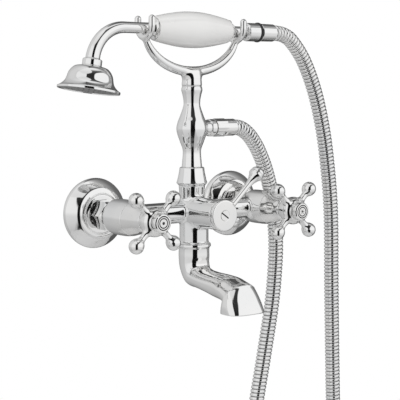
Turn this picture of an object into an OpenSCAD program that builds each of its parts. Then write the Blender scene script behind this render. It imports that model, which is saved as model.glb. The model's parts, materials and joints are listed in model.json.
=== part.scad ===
// Wall-mounted bath and shower mixer with cross handles, lever diverter, baluster riser and cradled handset.
// Millimetres. X runs to the viewer's right, Y into the wall, Z up. The origin is on the wall, midway
// between the two water inlets. Distances "out" are measured from the wall towards the viewer.

/* [Wall connection] */
// Distance between the hot and the cold inlet
inlet_pitch = 150; // [140:1:180]
// Outside diameter of the inlet thread
inlet_thread_d = 20.96; // [18:0.02:24]
// Water way through the wall unions
inlet_bore_d = 12; // [8:0.5:13]
// Length of thread that goes into the wall
wall_thread_l = 18; // [10:1:25]
// Diameter of the wall flanges
flange_d = 61; // [56:1:80]
// How far a wall flange stands out
flange_h = 17; // [15:0.5:22]
// Diameter of the collar at the front of a flange
flange_collar_d = 34; // [30:0.2:36]
// Thickness of the flange metal
flange_wall = 1.6; // [1:0.1:2]
// Metal left between the union nut's thread and its flats
nut_wall = 1.6; // [1.4:0.1:4]
// Length of a union nut
nut_l = 16; // [14:0.5:22]
// Space between a flange and its union nut
nut_gap = 2; // [1:0.5:6]
// Thickness of the union washers
washer_t = 2; // [1:0.25:3]

/* [Body] */
// Diameter of the two valve barrels
valve_d = 30.4; // [30:0.2:40]
// Length of a valve barrel
valve_l = 28; // [26:0.5:36]
// How far the crossbar's axis lies in front of the barrels' rear faces
axis_in = 8; // [7:0.5:10]
// Diameter of the crossbar
crossbar_d = 18.6; // [15:0.2:22]
// Water way through the crossbar
crossbar_bore_d = 11; // [7:0.5:12]
// Diameter of the upright hub in the middle of the body
hub_d = 22; // [21:0.5:26]
// Diameter of the lower part of the hub, above the spout
lower_hub_d = 25.4; // [23.4:0.2:27]
// Diameter of the ring where the spout meets the hub
spout_joint_d = 29.4; // [27:0.2:32]
// How far the spout's joint lies in front of the riser's axis
spout_out = 3; // [0:0.5:4]
// Water way through the hub
hub_bore_d = 11; // [8:0.5:12]
// How far the hub reaches below the crossbar's axis
hub_drop = 28; // [25:0.5:36]
// How far the hub reaches above the crossbar's axis
hub_rise = 23; // [20:0.5:30]
// Diameter of the diverter barrel
diverter_d = 26; // [24:0.5:30]
// How far the diverter barrel reaches out from the crossbar's axis
diverter_l = 41.8; // [38:0.2:50]

/* [Valves] */
// Outside diameter of the valve headworks' thread
headwork_d = 20; // [19:0.25:22]
// Diameter of the spindles
spindle_d = 8; // [7:0.25:9]
// Diameter of the ceramic discs
disc_d = 14; // [13:0.25:14.5]
// Thickness of one ceramic disc
disc_t = 2.3; // [1.5:0.1:2.5]
// Length of the tapered bonnets
bonnet_l = 20; // [18:0.5:28]
// Diameter of a bonnet at its front end
bonnet_front_d = 19.2; // [18.6:0.2:24]

/* [Handles] */
// Distance between the centres of two opposite handle balls
handle_span = 52; // [46:0.5:64]
// Diameter of the balls on the handles
ball_d = 12.5; // [10:0.25:14]
// Diameter of a handle arm at its waist
arm_d = 5.6; // [4:0.2:7]
// Depth of a handle's hub
handle_hub_l = 15.4; // [15:0.2:20]
// Diameter of the index buttons
button_d = 16; // [14:0.5:18]
// Thickness of the index buttons
button_t = 5.8; // [4:0.2:7]

/* [Diverter lever] */
// Diameter of the lever's disc
lever_disc_d = 27.2; // [26:0.2:30]
// Thickness of the lever's disc
lever_disc_t = 4.6; // [4.2:0.2:8]
// Distance from the lever's axis to the middle of its end knob
lever_l = 49; // [40:0.5:56]
// Angle of the lever above the horizontal
lever_angle = 43; // [30:1:50]
// Diameter of the lever's arm at its thinnest
lever_arm_d = 5.4; // [4:0.2:5.8]
// Diameter of the lever's end knob
lever_knob_d = 13; // [9:0.25:14]
// Diameter of the lever's slotted screw
lever_screw_d = 8.8; // [8:0.2:10]

/* [Riser] */
// Height of the tapered collar under the riser column
collar_l = 16; // [15:0.5:20]
// Diameter of the collar's rim
collar_d = 27; // [25:0.5:32]
// Height of the riser column
column_l = 70.6; // [66:0.2:90]
// Diameter of the column's belly
belly_d = 27; // [24:0.5:32]
// Height of the hose outlet above the foot of the column
outlet_rise = 34; // [32:0.5:38]
// Distance from the riser's axis to the face of the hose outlet
outlet_l = 23.5; // [20:0.5:28]
// Diameter of the hose outlet
outlet_d = 15.2; // [14.5:0.1:18]
// Outside diameter of the hose threads
hose_thread_d = 12; // [10:0.1:12.2]

/* [Cradle] */
// Distance from an end of the grip out to the middle of its yoke
yoke_room = 10.25; // [9.75:0.25:14]
// Height of the yokes' centres above the foot of the cradle
cradle_rise = 50.9; // [48:0.1:60]
// Distance between the two prongs of a yoke
prong_gap = 20.6; // [20:0.2:24]
// Diameter of a prong
prong_d = 5.6; // [4.6:0.2:6]
// Height of the prongs above the yoke's centre
prong_l = 5.4; // [3:0.2:10]
// Thickness of the cradle's arms
cradle_arm_d = 8.4; // [7:0.2:10]

/* [Spout] */
// Distance from the spout's joint out to the middle of the mouth
spout_reach = 67; // [60:1:80]
// Height of the joint above the mouth
spout_drop = 51.6; // [50:0.2:60]
// Width of the mouth
mouth_w = 37.6; // [32:0.2:42]
// Depth of the mouth from back to front
mouth_d = 26.4; // [24:0.2:32]
// Thickness of the spout's wall
spout_wall = 2.4; // [1.8:0.1:3]

/* [Handset] */
// Length of the porcelain grip
grip_l = 78.5; // [70:0.5:80]
// Greatest diameter of the grip
grip_d = 31.2; // [28:0.2:34]
// Diameter of the grip's ends
grip_end_d = 20.4; // [18:0.2:22]
// Diameter of the neck that lies in the cradle
neck_d = 9.4; // [8.6:0.2:11]
// Diameter of the gooseneck where it meets the rose
goose_end_d = 12; // [10:0.2:13]
// Radius of the gooseneck's bend
goose_bend_r = 31.5; // [26:0.5:40]
// Length of straight tube between the cradle and the bend
goose_straight_l = 21; // [14:0.5:30]
// How many degrees the gooseneck bends
goose_turn = 81; // [70:1:90]
// Diameter of the rose
rose_d = 52; // [46:0.5:60]
// Height of the rose's bell
rose_h = 20.5; // [18:0.5:26]
// Diameter of the tail behind the cradle
tail_d = 16.4; // [15.5:0.2:19]

/* [Hose] */
// Outside diameter of the hose
hose_d = 14; // [12.5:0.5:14.5]
// Water way through the hose
hose_bore_d = 8; // [6:0.5:9]
// Depth of the ribs
rib_depth = 1; // [0.5:0.1:1.4]
// Number of ribs along the hose
rib_count = 190; // [60:2:200]

/* [Fits] */
// Radial clearance of screwed and pushed fits
thread_fit = 0.05; // [0.02:0.01:0.1]
// Radial clearance of turning fits
running_fit = 0.06; // [0.03:0.01:0.1]
// Space between turning faces, and under the resting handset
rest_gap = 0.3; // [0.2:0.05:0.5]

/* [Hidden] */
$fn = 72;

chrome = [0.83, 0.84, 0.85];
brass = [0.76, 0.62, 0.32];
rubber = [0.13, 0.13, 0.13];
porcelain = [0.95, 0.95, 0.94];
alumina = [0.93, 0.91, 0.85];
moulded = [0.85, 0.86, 0.82];

// Places along a valve's axis, all measured out from the wall
valve_x = inlet_pitch / 2;
thread_r = inlet_thread_d / 2;
inlet_bore_r = inlet_bore_d / 2;
nut_lip = 2.5;
tail_collar_l = 2.5;
tail_thread_l = 3.5;
tail_r = thread_r - 2.6;
seat_web = 1.5;
seal_t = 1.6;
nut_h0 = flange_h + nut_gap;
nut_h1 = nut_h0 + nut_l;
tail_collar_h1 = nut_h1 - nut_lip;
tail_collar_h0 = tail_collar_h1 - tail_collar_l;
union_h1 = tail_collar_h0 - washer_t;
barrel_h0 = nut_h1 + 3;
barrel_h1 = barrel_h0 + valve_l;
axis_h = barrel_h0 + axis_in;
seat_h = barrel_h0 + tail_thread_l + seat_web;
headwork_r = headwork_d / 2;
spindle_r = spindle_d / 2;
disc_r = disc_d / 2;
headwork_h0 = seat_h + seal_t;
moving_disc_h = headwork_h0 + disc_t + thread_fit;
spindle_foot_h = moving_disc_h + disc_t + thread_fit;
spindle_foot_t = 2.2;
chamber_h1 = spindle_foot_h + spindle_foot_t + 0.2;
headwork_flange_t = 3;
headwork_neck_r = spindle_r + 2.6;
bonnet_joint_r = valve_d / 2 - 1.1;
bonnet_h1 = barrel_h1 + bonnet_l;
bonnet_wall = 1.6;
bonnet_lip = 3.5;

// Places along a handle's axis
handle_h0 = bonnet_h1 + rest_gap;
handle_arm_h = handle_h0 + 9.4;
handle_h1 = handle_h0 + handle_hub_l;
handle_web_h = handle_h0 + 8.6;
handle_web_t = 1.6;
handle_recess_r = 5.2;
screw_r = 2;
screw_head_r = 4;
screw_head_t = 2.2;
screw_l = 9;
spindle_h1 = handle_web_h - 0.2;
mark_r = 2.1;
mark_depth = 0.5;

// Places along the diverter's axis
diverter_h1 = axis_h + diverter_l;
diverter_bore_r = 8.5;
diverter_floor_h = axis_h - 8;
diverter_rear_h = diverter_floor_h - 4;
sleeve_in_r = 6.3;
sleeve_h1 = axis_h + 16;
diverter_port_d = 8;
diverter_spindle_r = 4;
gland_h1 = diverter_h1 - 9;
lever_h0 = diverter_h1 + rest_gap;
lever_h1 = lever_h0 + lever_disc_t;
lever_web_t = 1.4;
lever_screw_t = 2.2;
lever_boss_r = 7.4;
lever_boss_l = 5;
lever_web_h = lever_h1 - lever_screw_t - lever_web_t;

// Heights up the riser
collar_z1 = hub_rise + collar_l;
stub_r = 9;
stub_l = 7;
riser_washer_t = 1.5;
column_foot_r = 9;
column_thread_r = 7.5;
column_bore_r = 5;
column_z1 = collar_z1 + column_l;
outlet_z = collar_z1 + outlet_rise;
hose_thread_r = hose_thread_d / 2;
outlet_bore_r = 4;
nipple_out = 8;
nipple_in = 9.5;
hose_nut_wall = 1.5;
hose_washer_t = 1.5;
hose_end_gap = 0.5;
hose_room = 0.4;
riser_nut_x0 = outlet_l + rest_gap;
riser_nut_x1 = outlet_l + 23;
hose_x0 = outlet_l + nipple_out + hose_washer_t + hose_end_gap;
stud_r = 4;
stud_hold = 11;

// Cradle and handset
yoke_x = grip_l / 2 + yoke_room;
yoke_z = column_z1 + cradle_rise;
prong_r = prong_d / 2;
yoke_r = prong_gap / 2;
neck_r = neck_d / 2;
handset_z = yoke_z - (yoke_r - prong_r) + neck_r + rest_gap;
grip_shift = -0.75;
grip_x0 = grip_shift - grip_l / 2;
grip_x1 = grip_shift + grip_l / 2;
ferrule_l = 7.2;
grip_tube_r = 3.2;
grip_tube_bore_r = 2.4;
front_ferrule_x0 = grip_x0 - 4;
goose_x0 = -yoke_x - goose_straight_l;
goose_bore_r = grip_tube_r + thread_fit;
rear_neck_x1 = yoke_x + prong_r + 5.2;
tail_x1 = rear_neck_x1 + 15.5;
tail_ring_l = 2.4;
hose_thread_l = 5;
handset_nut_x0 = tail_x1 + tail_ring_l + 0.5;
handset_nut_x1 = handset_nut_x0 + 17;
hose_x1 = tail_x1 + tail_ring_l + hose_thread_l + hose_washer_t + hose_end_gap;
rose_collar_l = 6;
rose_collar_r = 8.1;
rose_wall = 1.4;
spray_plate_t = 2;
goose_end = [goose_x0 - goose_bend_r * sin(goose_turn), handset_z - goose_bend_r * (1 - cos(goose_turn))];

// Route of the hose, from the riser's outlet down, round its hanging loop and up to the handset. It is
// drawn for the sizes above; its two ends and its middle move along when those sizes change.
drawn_route = [
    [33.5, -46, 73], [40.5, -46, 73], [47.5, -46, 73], [54.5, -45.5, 72], [61, -45, 69], [67.5, -44, 64.5],
    [73.5, -43, 58.5], [79.5, -42, 51], [88, -40.5, 37], [95.5, -39, 20], [99.5, -38, 7],
    [103, -38, -13], [105, -38, -35], [104.5, -38, -58], [100.5, -38, -95], [90.5, -38, -146],
    [80, -38, -198], [73.5, -38, -256], [73, -38.5, -332], [79, -39.5, -382], [91, -41, -420],
    [110, -42.5, -443.5], [133, -44, -447.5], [153, -45, -431.5], [167, -46, -399], [174, -46, -355], [176, -46, -300],
    [175.5, -46, -235], [173, -46, -165], [170.5, -46, -85], [168.5, -46, -10],
    [162, -46, 43], [154.5, -46, 78], [144.5, -46, 108], [131, -46, 134], [116, -46, 151],
    [106, -46, 156.5], [96.5, -46, 158], [89.5, -46, 158], [82.5, -46, 158]
];
route_last = len(drawn_route) - 1;
start_move = [hose_x0, -axis_h, outlet_z] - drawn_route[0];
middle_move = [valve_x + valve_d / 2 - 90.2, 46 - axis_h, 0];
end_move = [hose_x1, -axis_h, handset_z] - drawn_route[route_last];
hose_route = [for (i = [0:route_last])
    let (a = min(1, max(0, (i - 2) / 8)), b = min(1, max(0, (i - route_last + 10) / 8)))
    drawn_route[i] + start_move * (1 - a) + middle_move * (a - b) + end_move * b];
hose_steps = 12;
hose_sides = 8;
// Plain stretches of hose inside the two nuts
plain_start = riser_nut_x1 - hose_x0 + 0.5;
plain_end = handset_nut_x1 - hose_x1 + 0.5;
hose_end_r = hose_d / 2 - rib_depth - 0.4;

// Vectors and curves

function unit(v) = v / norm(v);

// One span of a smooth curve from p1 to p2
function span(p0, p1, p2, p3, t) =
    0.5 * (2 * p1 + (p2 - p0) * t + (2 * p0 - 5 * p1 + 4 * p2 - p3) * t * t
        + (3 * p1 - p0 - 3 * p2 + p3) * t * t * t);

// Smooth curve through the given points, with steps points to a span
function smooth(p, steps) = concat(
    [for (i = [0:len(p) - 2], k = [0:steps - 1])
        span(p[max(i - 1, 0)], p[i], p[i + 1], p[min(i + 2, len(p) - 1)], k / steps)],
    [p[len(p) - 1]]);

// Arc of points round a centre
function arc(c, r, a0, a1, steps) = [for (k = [0:steps]) c + r * [cos(a0 + (a1 - a0) * k / steps),
    sin(a0 + (a1 - a0) * k / steps)]];

// Direction of a list of points at point i
function heading(p, i) = unit(p[min(i + 1, len(p) - 1)] - p[max(i - 1, 0)]);

// Running length along a list of points
function lengths(p, i = 0, sum = 0, out = []) =
    i == len(p) ? out
    : let (s = i == 0 ? 0 : sum + norm(p[i] - p[i - 1])) lengths(p, i + 1, s, concat(out, [s]));

// Point at a given running length
function at_length(p, run, s) =
    let (i = max([for (k = [0:len(p) - 2]) if (run[k] <= s) k]), d = run[i + 1] - run[i])
    p[i] + (p[i + 1] - p[i]) * min(1, (s - run[i]) / d);

// Ring of points square to a direction: half-width a across, half-depth b along the reference vector
function ring(c, t, ref, a, b, sides, power = 2) =
    let (v = unit(ref - (ref * t) * t), u = cross(v, t))
    [for (i = [0:sides - 1])
        let (q = 360 * i / sides, x = cos(q), y = sin(q))
        c + u * a * sign(x) * pow(abs(x), 2 / power) + v * b * sign(y) * pow(abs(y), 2 / power)];

// Side faces between rings, first being the number of the first point
function skin_faces(rings, sides, first, inward) =
    [for (j = [0:rings - 2], i = [0:sides - 1])
        let (k = (i + 1) % sides, a = first + j * sides)
        each inward
            ? [[a + i, a + k, a + sides + k], [a + i, a + sides + k, a + sides + i]]
            : [[a + sides + k, a + k, a + i], [a + sides + i, a + sides + k, a + i]]];

// Solid skinned over a list of rings
module skin(rings) {
    sides = len(rings[0]);
    last = (len(rings) - 1) * sides;
    polyhedron([for (r = rings) each r], concat(
        skin_faces(len(rings), sides, 0, false),
        [for (i = [1:sides - 2]) [0, i, i + 1]],
        [for (i = [1:sides - 2]) [last, last + i + 1, last + i]]), convexity = 8);
}

// Hollow solid between outer rings and inner rings, open at both ends
module hollow_skin(outer, inner) {
    sides = len(outer[0]);
    shift = len(outer) * sides;
    last = shift - sides;
    inner_last = shift + (len(inner) - 1) * sides;
    polyhedron(concat([for (r = outer) each r], [for (r = inner) each r]), concat(
        skin_faces(len(outer), sides, 0, false),
        skin_faces(len(inner), sides, shift, true),
        [for (i = [0:sides - 1]) let (k = (i + 1) % sides)
            each [[i, k, shift + k], [i, shift + k, shift + i]]],
        [for (i = [0:sides - 1]) let (k = (i + 1) % sides)
            each [[inner_last + k, last + k, last + i], [inner_last + i, inner_last + k, last + i]]]),
        convexity = 10);
}

// Placing

// Along a valve's or the diverter's axis: local Z runs out from the wall
module out_from_wall(x) {
    translate([x, 0, 0]) rotate([90, 0, 0]) children();
}

module on_riser() {
    translate([0, -axis_h, 0]) children();
}

module on_spout() {
    translate([0, -axis_h - spout_out, 0]) children();
}

// Along the hose outlet's axis: local Z runs to the right
module on_outlet() {
    translate([0, -axis_h, outlet_z]) rotate([0, 90, 0]) children();
}

// Along the handset's axis: local Z runs to the right
module on_handset() {
    translate([0, -axis_h, handset_z]) rotate([0, 90, 0]) children();
}

// On the end of the gooseneck: local Z runs out of the rose
module on_rose() {
    translate([goose_end[0], -axis_h, goose_end[1]]) rotate([0, 180 + 90 - goose_turn, 0]) children();
}

// Turned piece from points of radius and place along the axis
module turned(profile) {
    rotate_extrude() polygon(profile);
}

// Plain ring
module sleeve(r_in, r_out, z0, z1) {
    turned([[r_in, z0], [r_out, z0], [r_out, z1], [r_in, z1]]);
}

// Rod along local Z
module rod(r, z0, z1) {
    translate([0, 0, z0]) cylinder(r = r, h = z1 - z0);
}

// Wall connection

module wall_flange(x) {
    r = flange_d / 2;
    c = flange_collar_d / 2;
    bore = thread_r + thread_fit;
    w = flange_wall;
    e = r - c;
    h = flange_h;
    dome = smooth([[r - 2.3, 0], [r - 0.7, 2.4], [r, 5.4], [r - 0.4, 7.4], [r - 1.5, 9], [c + e * 0.7, h - 5.3],
        [c + e * 0.51, h - 3], [c + e * 0.41, h - 1.95], [c + e * 0.31, h - 1.3], [c + e * 0.2, h - 0.8], [c + 1.2, h - 0.6]], 3);
    collar = [[c + 0.8, h - 1.2], [c + 0.2, h - 1.2], [c, h - 0.6], [c - 0.4, h - 0.2], [c - 1.4, h], [bore, h]];
    inside = smooth([[c + 1.4, h - w - 0.9], [c + e * 0.31 - 0.5, h - w - 1.4], [c + e * 0.51 - 0.7, h - w - 3],
        [c + e * 0.7 - 1, h - w - 5.2], [r - w - 1.4, 8.2], [r - w, 5.4], [r - w - 0.7, 2.4], [r - w - 2.3, 0]], 3);
    color(chrome) out_from_wall(x)
        turned(concat(dome, collar, [[bore, h - w], [c - 0.6, h - w]], inside));
}

// Wall union: a thread for the wall, a relief groove, and a thread for the nut
module wall_union(x) {
    relief_r = thread_r - 1.2;
    color(chrome) out_from_wall(x)
        turned([[inlet_bore_r, -wall_thread_l], [thread_r - 1, -wall_thread_l], [thread_r, 1 - wall_thread_l],
            [thread_r, 0], [relief_r, 0.6], [relief_r, 2.4], [thread_r, 3],
            [thread_r, union_h1 - 0.6], [thread_r - 0.6, union_h1], [inlet_bore_r, union_h1]]);
}

module union_nut(x) {
    flat_r = thread_r + thread_fit + nut_wall;
    corner_r = flat_r / cos(30);
    color(chrome) out_from_wall(x) difference() {
        intersection() {
            translate([0, 0, nut_h0]) cylinder(r = corner_r, h = nut_l, $fn = 6);
            turned([[0, nut_h0], [flat_r - 0.2, nut_h0], [corner_r, nut_h0 + 1.8], [corner_r, nut_h1 - 1.8],
                [flat_r - 0.2, nut_h1], [0, nut_h1]]);
        }
        rod(thread_r + thread_fit, nut_h0 - 1, tail_collar_h1);
        rod(tail_r + thread_fit, nut_h0, nut_h1 + 1);
    }
}

module union_washer(x) {
    color(rubber) out_from_wall(x) sleeve(inlet_bore_r, thread_r - 0.3, union_h1, tail_collar_h0);
}

module inlet_tail(x) {
    tail_h1 = seat_h - seat_web;
    color(chrome) out_from_wall(x)
        turned([[inlet_bore_r, tail_collar_h0], [thread_r - 0.2, tail_collar_h0], [thread_r - 0.2, tail_collar_h1],
            [tail_r, tail_collar_h1], [tail_r, tail_h1], [inlet_bore_r, tail_h1]]);
}

// Body: valve barrels, crossbar, hub and diverter barrel in one casting

module valve_barrel() {
    r = valve_d / 2;
    side = smooth([[r - 2.6, barrel_h0], [r - 1.4, barrel_h0 + 0.9], [r - 0.5, barrel_h0 + 2.8], [r, barrel_h0 + 5.6],
        [r, barrel_h1 - 10], [r - 0.4, barrel_h1 - 5], [bonnet_joint_r, barrel_h1]], 4);
    turned(concat([[0, barrel_h0]], side, [[0, barrel_h1]]));
}

module upper_hub() {
    r = hub_d / 2;
    head = smooth([[r + 0.6, 0], [r + 0.2, hub_rise - 10], [r + 0.3, hub_rise - 4], [r + 0.6, hub_rise]], 4);
    turned(concat([[0, 0]], head, [[stub_r, hub_rise], [stub_r, hub_rise + stub_l], [0, hub_rise + stub_l]]));
}

module lower_hub() {
    r = lower_hub_d / 2;
    j = spout_joint_d / 2;
    turned(concat([[0, -hub_drop], [j - 0.4, -hub_drop]], [[j - 0.2, 0.6 - hub_drop], [r + 0.5, 1.2 - hub_drop],
        [r, 2.4 - hub_drop], [r, 0], [0, 0]]));
}

module diverter_barrel() {
    r = diverter_d / 2;
    turned([[0, diverter_rear_h], [r - 3, diverter_rear_h], [r - 0.9, diverter_rear_h + 0.9],
        [r, diverter_rear_h + 3], [r, diverter_h1 - 0.6], [r - 0.6, diverter_h1], [0, diverter_h1]]);
}

module mixer_body() {
    nipple_r = spout_nipple_r + thread_fit;
    crossbar_l = inlet_pitch - valve_d / 2;
    color(chrome) difference() {
        union() {
            for (x = [-valve_x, valve_x]) out_from_wall(x) valve_barrel();
            translate([-crossbar_l / 2, -axis_h, 0]) rotate([0, 90, 0]) cylinder(d = crossbar_d, h = crossbar_l);
            on_riser() upper_hub();
            on_spout() lower_hub();
            out_from_wall(0) diverter_barrel();
        }
        for (x = [-valve_x, valve_x]) out_from_wall(x) {
            rod(tail_r + thread_fit, barrel_h0 - 6, seat_h - seat_web);
            rod(inlet_bore_r, barrel_h0, seat_h + 1);
            rod(headwork_r + thread_fit, seat_h, barrel_h1 + 1);
        }
        crossbar_end = valve_x - headwork_r + 0.6;
        translate([-crossbar_end, -axis_h, 0]) rotate([0, 90, 0])
            cylinder(d = crossbar_bore_d, h = 2 * crossbar_end);
        out_from_wall(0) rod(diverter_bore_r + thread_fit, diverter_floor_h, diverter_h1 + 1);
        on_riser() rod(hub_bore_d / 2, 0, hub_rise + stub_l + 1);
        on_spout() {
            rod(hub_bore_d / 2, -hub_drop, 0);
            rod(nipple_r, -hub_drop - 1, spout_nipple_z1 + 0.5);
            sleeve(nipple_r - 0.1, spout_washer_r + thread_fit, -hub_drop - 1, spout_washer_t - hub_drop);
        }
    }
}

// Valves

module seat_seal(x) {
    color(rubber) out_from_wall(x) sleeve(inlet_bore_r - 1.4, headwork_r - 1.8, seat_h, headwork_h0);
}

module headwork(x) {
    skirt_r = headwork_r - 1.6;
    bore_r = spindle_r + running_fit;
    chamber_r = disc_r + running_fit;
    flange_r = bonnet_joint_r - bonnet_wall - 1.4;
    flange_h1 = barrel_h1 + headwork_flange_t;
    neck_h1 = bonnet_h1 - 0.4;
    color(brass) out_from_wall(x) difference() {
        turned([[chamber_r, headwork_h0], [skirt_r, headwork_h0], [skirt_r, barrel_h1 - 10],
            [headwork_r, barrel_h1 - 9], [headwork_r, barrel_h1], [flange_r, barrel_h1], [flange_r, flange_h1],
            [headwork_neck_r, flange_h1], [headwork_neck_r, neck_h1], [bore_r, neck_h1], [bore_r, chamber_h1],
            [chamber_r, chamber_h1]]);
        for (a = [0, 90]) translate([0, 0, spindle_foot_h + 0.6]) rotate([90, 0, a])
            cylinder(r = 1.5, h = 2 * headwork_r, center = true);
    }
}

// Ceramic disc with two ports, turned by the given angle
module ported_disc(h, angle) {
    port_r = 1.8;
    difference() {
        rod(disc_r, h, h + disc_t);
        for (s = [-1, 1]) rotate([0, 0, angle]) translate([s * disc_r / 2, 0, 0]) rod(port_r, h - 1, h + disc_t + 1);
    }
}

module fixed_disc(x) {
    color(alumina) out_from_wall(x) ported_disc(headwork_h0, 0);
}

module moving_disc(x) {
    color(porcelain) out_from_wall(x) ported_disc(moving_disc_h, 90);
}

module spindle(x) {
    color(brass) out_from_wall(x) difference() {
        union() {
            rod(disc_r - 0.2, spindle_foot_h, spindle_foot_h + spindle_foot_t);
            rod(spindle_r, spindle_foot_h, spindle_h1);
        }
        rod(screw_r + thread_fit, handle_web_h - screw_l - 0.5, spindle_h1 + 1);
    }
}

module bonnet(x) {
    f = bonnet_front_d / 2;
    e = bonnet_joint_r - f;
    w = bonnet_wall;
    bore = headwork_neck_r + thread_fit;
    outside = smooth([[f + e, barrel_h1], [f + e * 0.67, barrel_h1 + bonnet_l * 0.3], [f + e * 0.27, barrel_h1 + bonnet_l * 0.65],
        [f + 0.4, bonnet_h1 - 2], [f, bonnet_h1 - 0.4]], 5);
    inside = smooth([[f - 0.7, bonnet_h1 - bonnet_lip - 1.4], [f + e * 0.27 - w, barrel_h1 + bonnet_l * 0.65 - 0.8],
        [f + e * 0.67 - w, barrel_h1 + bonnet_l * 0.3 - 0.6], [f + e - w, barrel_h1]], 5);
    color(chrome) out_from_wall(x)
        turned(concat(outside, [[f - 0.4, bonnet_h1], [bore, bonnet_h1], [bore, bonnet_h1 - bonnet_lip],
            [f - 1.4, bonnet_h1 - bonnet_lip]], inside));
}

// Handles

module cross_handle(x) {
    b = button_d / 2;
    r_arm = handle_span / 2;
    waist_r = arm_d / 2;
    ball_r = ball_d / 2;
    root = 6;
    waist = r_arm - ball_r - 1.5;
    hub_side = smooth([[b + 1.4, handle_h0], [b + 2.2, handle_h0 + 1.8], [b + 3.6, handle_arm_h - 4.2],
        [b + 4.2, handle_arm_h], [b + 3.2, handle_arm_h + 3.2], [b + 1.2, handle_h1 - 1], [b + 0.4, handle_h1]], 4);
    color(chrome) out_from_wall(x) difference() {
        union() {
            turned(concat([[0, handle_h0]], hub_side, [[0, handle_h1]]));
            for (a = [45:90:315]) rotate([0, 0, a]) translate([0, 0, handle_arm_h]) rotate([0, 90, 0]) {
                translate([0, 0, root]) cylinder(r1 = waist_r + 1.5, r2 = waist_r, h = waist - root);
                translate([0, 0, waist]) cylinder(r1 = waist_r, r2 = ball_r * 0.8, h = r_arm - waist - ball_r * 0.6);
                translate([0, 0, r_arm]) sphere(r = ball_r);
            }
        }
        rod(spindle_r + thread_fit, handle_h0 - 1, handle_web_h);
        rod(screw_r + thread_fit, handle_h0, handle_h1 + 1);
        rod(handle_recess_r, handle_web_h + handle_web_t, handle_h1 + 1);
    }
}

module handle_screw(x) {
    seat = handle_web_h + handle_web_t;
    slot_w = 1;
    color(brass) out_from_wall(x) difference() {
        union() {
            rod(screw_r, seat - screw_l, seat);
            rod(screw_head_r, seat, seat + screw_head_t);
        }
        translate([-screw_head_r, -slot_w / 2, seat + screw_head_t / 2]) cube([2 * screw_head_r, slot_w, screw_head_t]);
    }
}

// Index button with two rings; the hot one carries a dot, the cold one a six-armed star
module index_button(x, hot) {
    b = button_d / 2;
    plug_h0 = handle_web_h + handle_web_t + screw_head_t + 0.2;
    h1 = handle_h1 + button_t;
    face = [[b - 1, handle_h1 + 0.8], [b - 0.2, handle_h1 + 1.2], [b, handle_h1 + 1.8], [b, h1 - 1.4], [b - 0.3, h1 - 0.7],
        [b - 1, h1 - 0.1], [b - 1.6, h1], [b - 2, h1], [b - 2.3, h1 - 0.5], [b - 2.6, h1 - 0.5], [b - 2.9, h1],
        [b - 3.7, h1], [b - 4, h1 - 0.4], [b - 4.3, h1 - 0.4], [b - 4.6, h1], [0, h1]];
    color(chrome) out_from_wall(x) difference() {
        turned(concat([[0, plug_h0], [handle_recess_r - thread_fit, plug_h0], [handle_recess_r - thread_fit, handle_h1],
            [b - 1, handle_h1]], face));
        if (hot) rod(mark_r * 0.6, h1 - mark_depth, h1 + 1);
        else for (a = [0:60:120]) rotate([0, 0, a])
            translate([-mark_r, -0.25, h1 - mark_depth]) cube([2 * mark_r, 0.5, 1]);
    }
}

// Diverter

module diverter_ports() {
    translate([0, 0, axis_h]) {
        for (a = [0, 90]) rotate([90, 0, a]) cylinder(d = diverter_port_d, h = 4 * diverter_bore_r, center = true);
    }
}

module diverter_sleeve() {
    color(brass) out_from_wall(0) difference() {
        sleeve(sleeve_in_r, diverter_bore_r, diverter_floor_h, sleeve_h1);
        diverter_ports();
    }
}

module diverter_plug() {
    plug_r = sleeve_in_r - running_fit;
    shaft_h1 = lever_web_h - 0.2;
    elbow_r = diverter_port_d / 2 - 0.6;
    color(brass) out_from_wall(0) difference() {
        union() {
            rod(plug_r, diverter_floor_h + 0.2, sleeve_h1 - 0.2);
            rod(diverter_spindle_r, sleeve_h1 - 1, shaft_h1);
        }
        translate([0, 0, axis_h]) {
            for (a = [0, -90]) rotate([0, 0, a]) rotate([90, 0, 0])
                translate([0, 0, -1]) cylinder(r = elbow_r, h = 2 * plug_r);
        }
        for (h = o_ring_places) sleeve(diverter_spindle_r - 1, diverter_spindle_r + 1, h - 0.55, h + 0.55);
        rod(screw_r + thread_fit, shaft_h1 - 8, shaft_h1 + 1);
    }
}
o_ring_places = [sleeve_h1 + 5, sleeve_h1 + 9];

module diverter_o_rings() {
    o_ring_r = 0.48;
    color(rubber) out_from_wall(0) for (h = o_ring_places)
        rotate_extrude() translate([diverter_spindle_r - o_ring_r, h]) circle(r = o_ring_r);
}

module diverter_gland() {
    color(brass) out_from_wall(0)
        sleeve(diverter_spindle_r + running_fit, diverter_bore_r, sleeve_h1, gland_h1);
}

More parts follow.
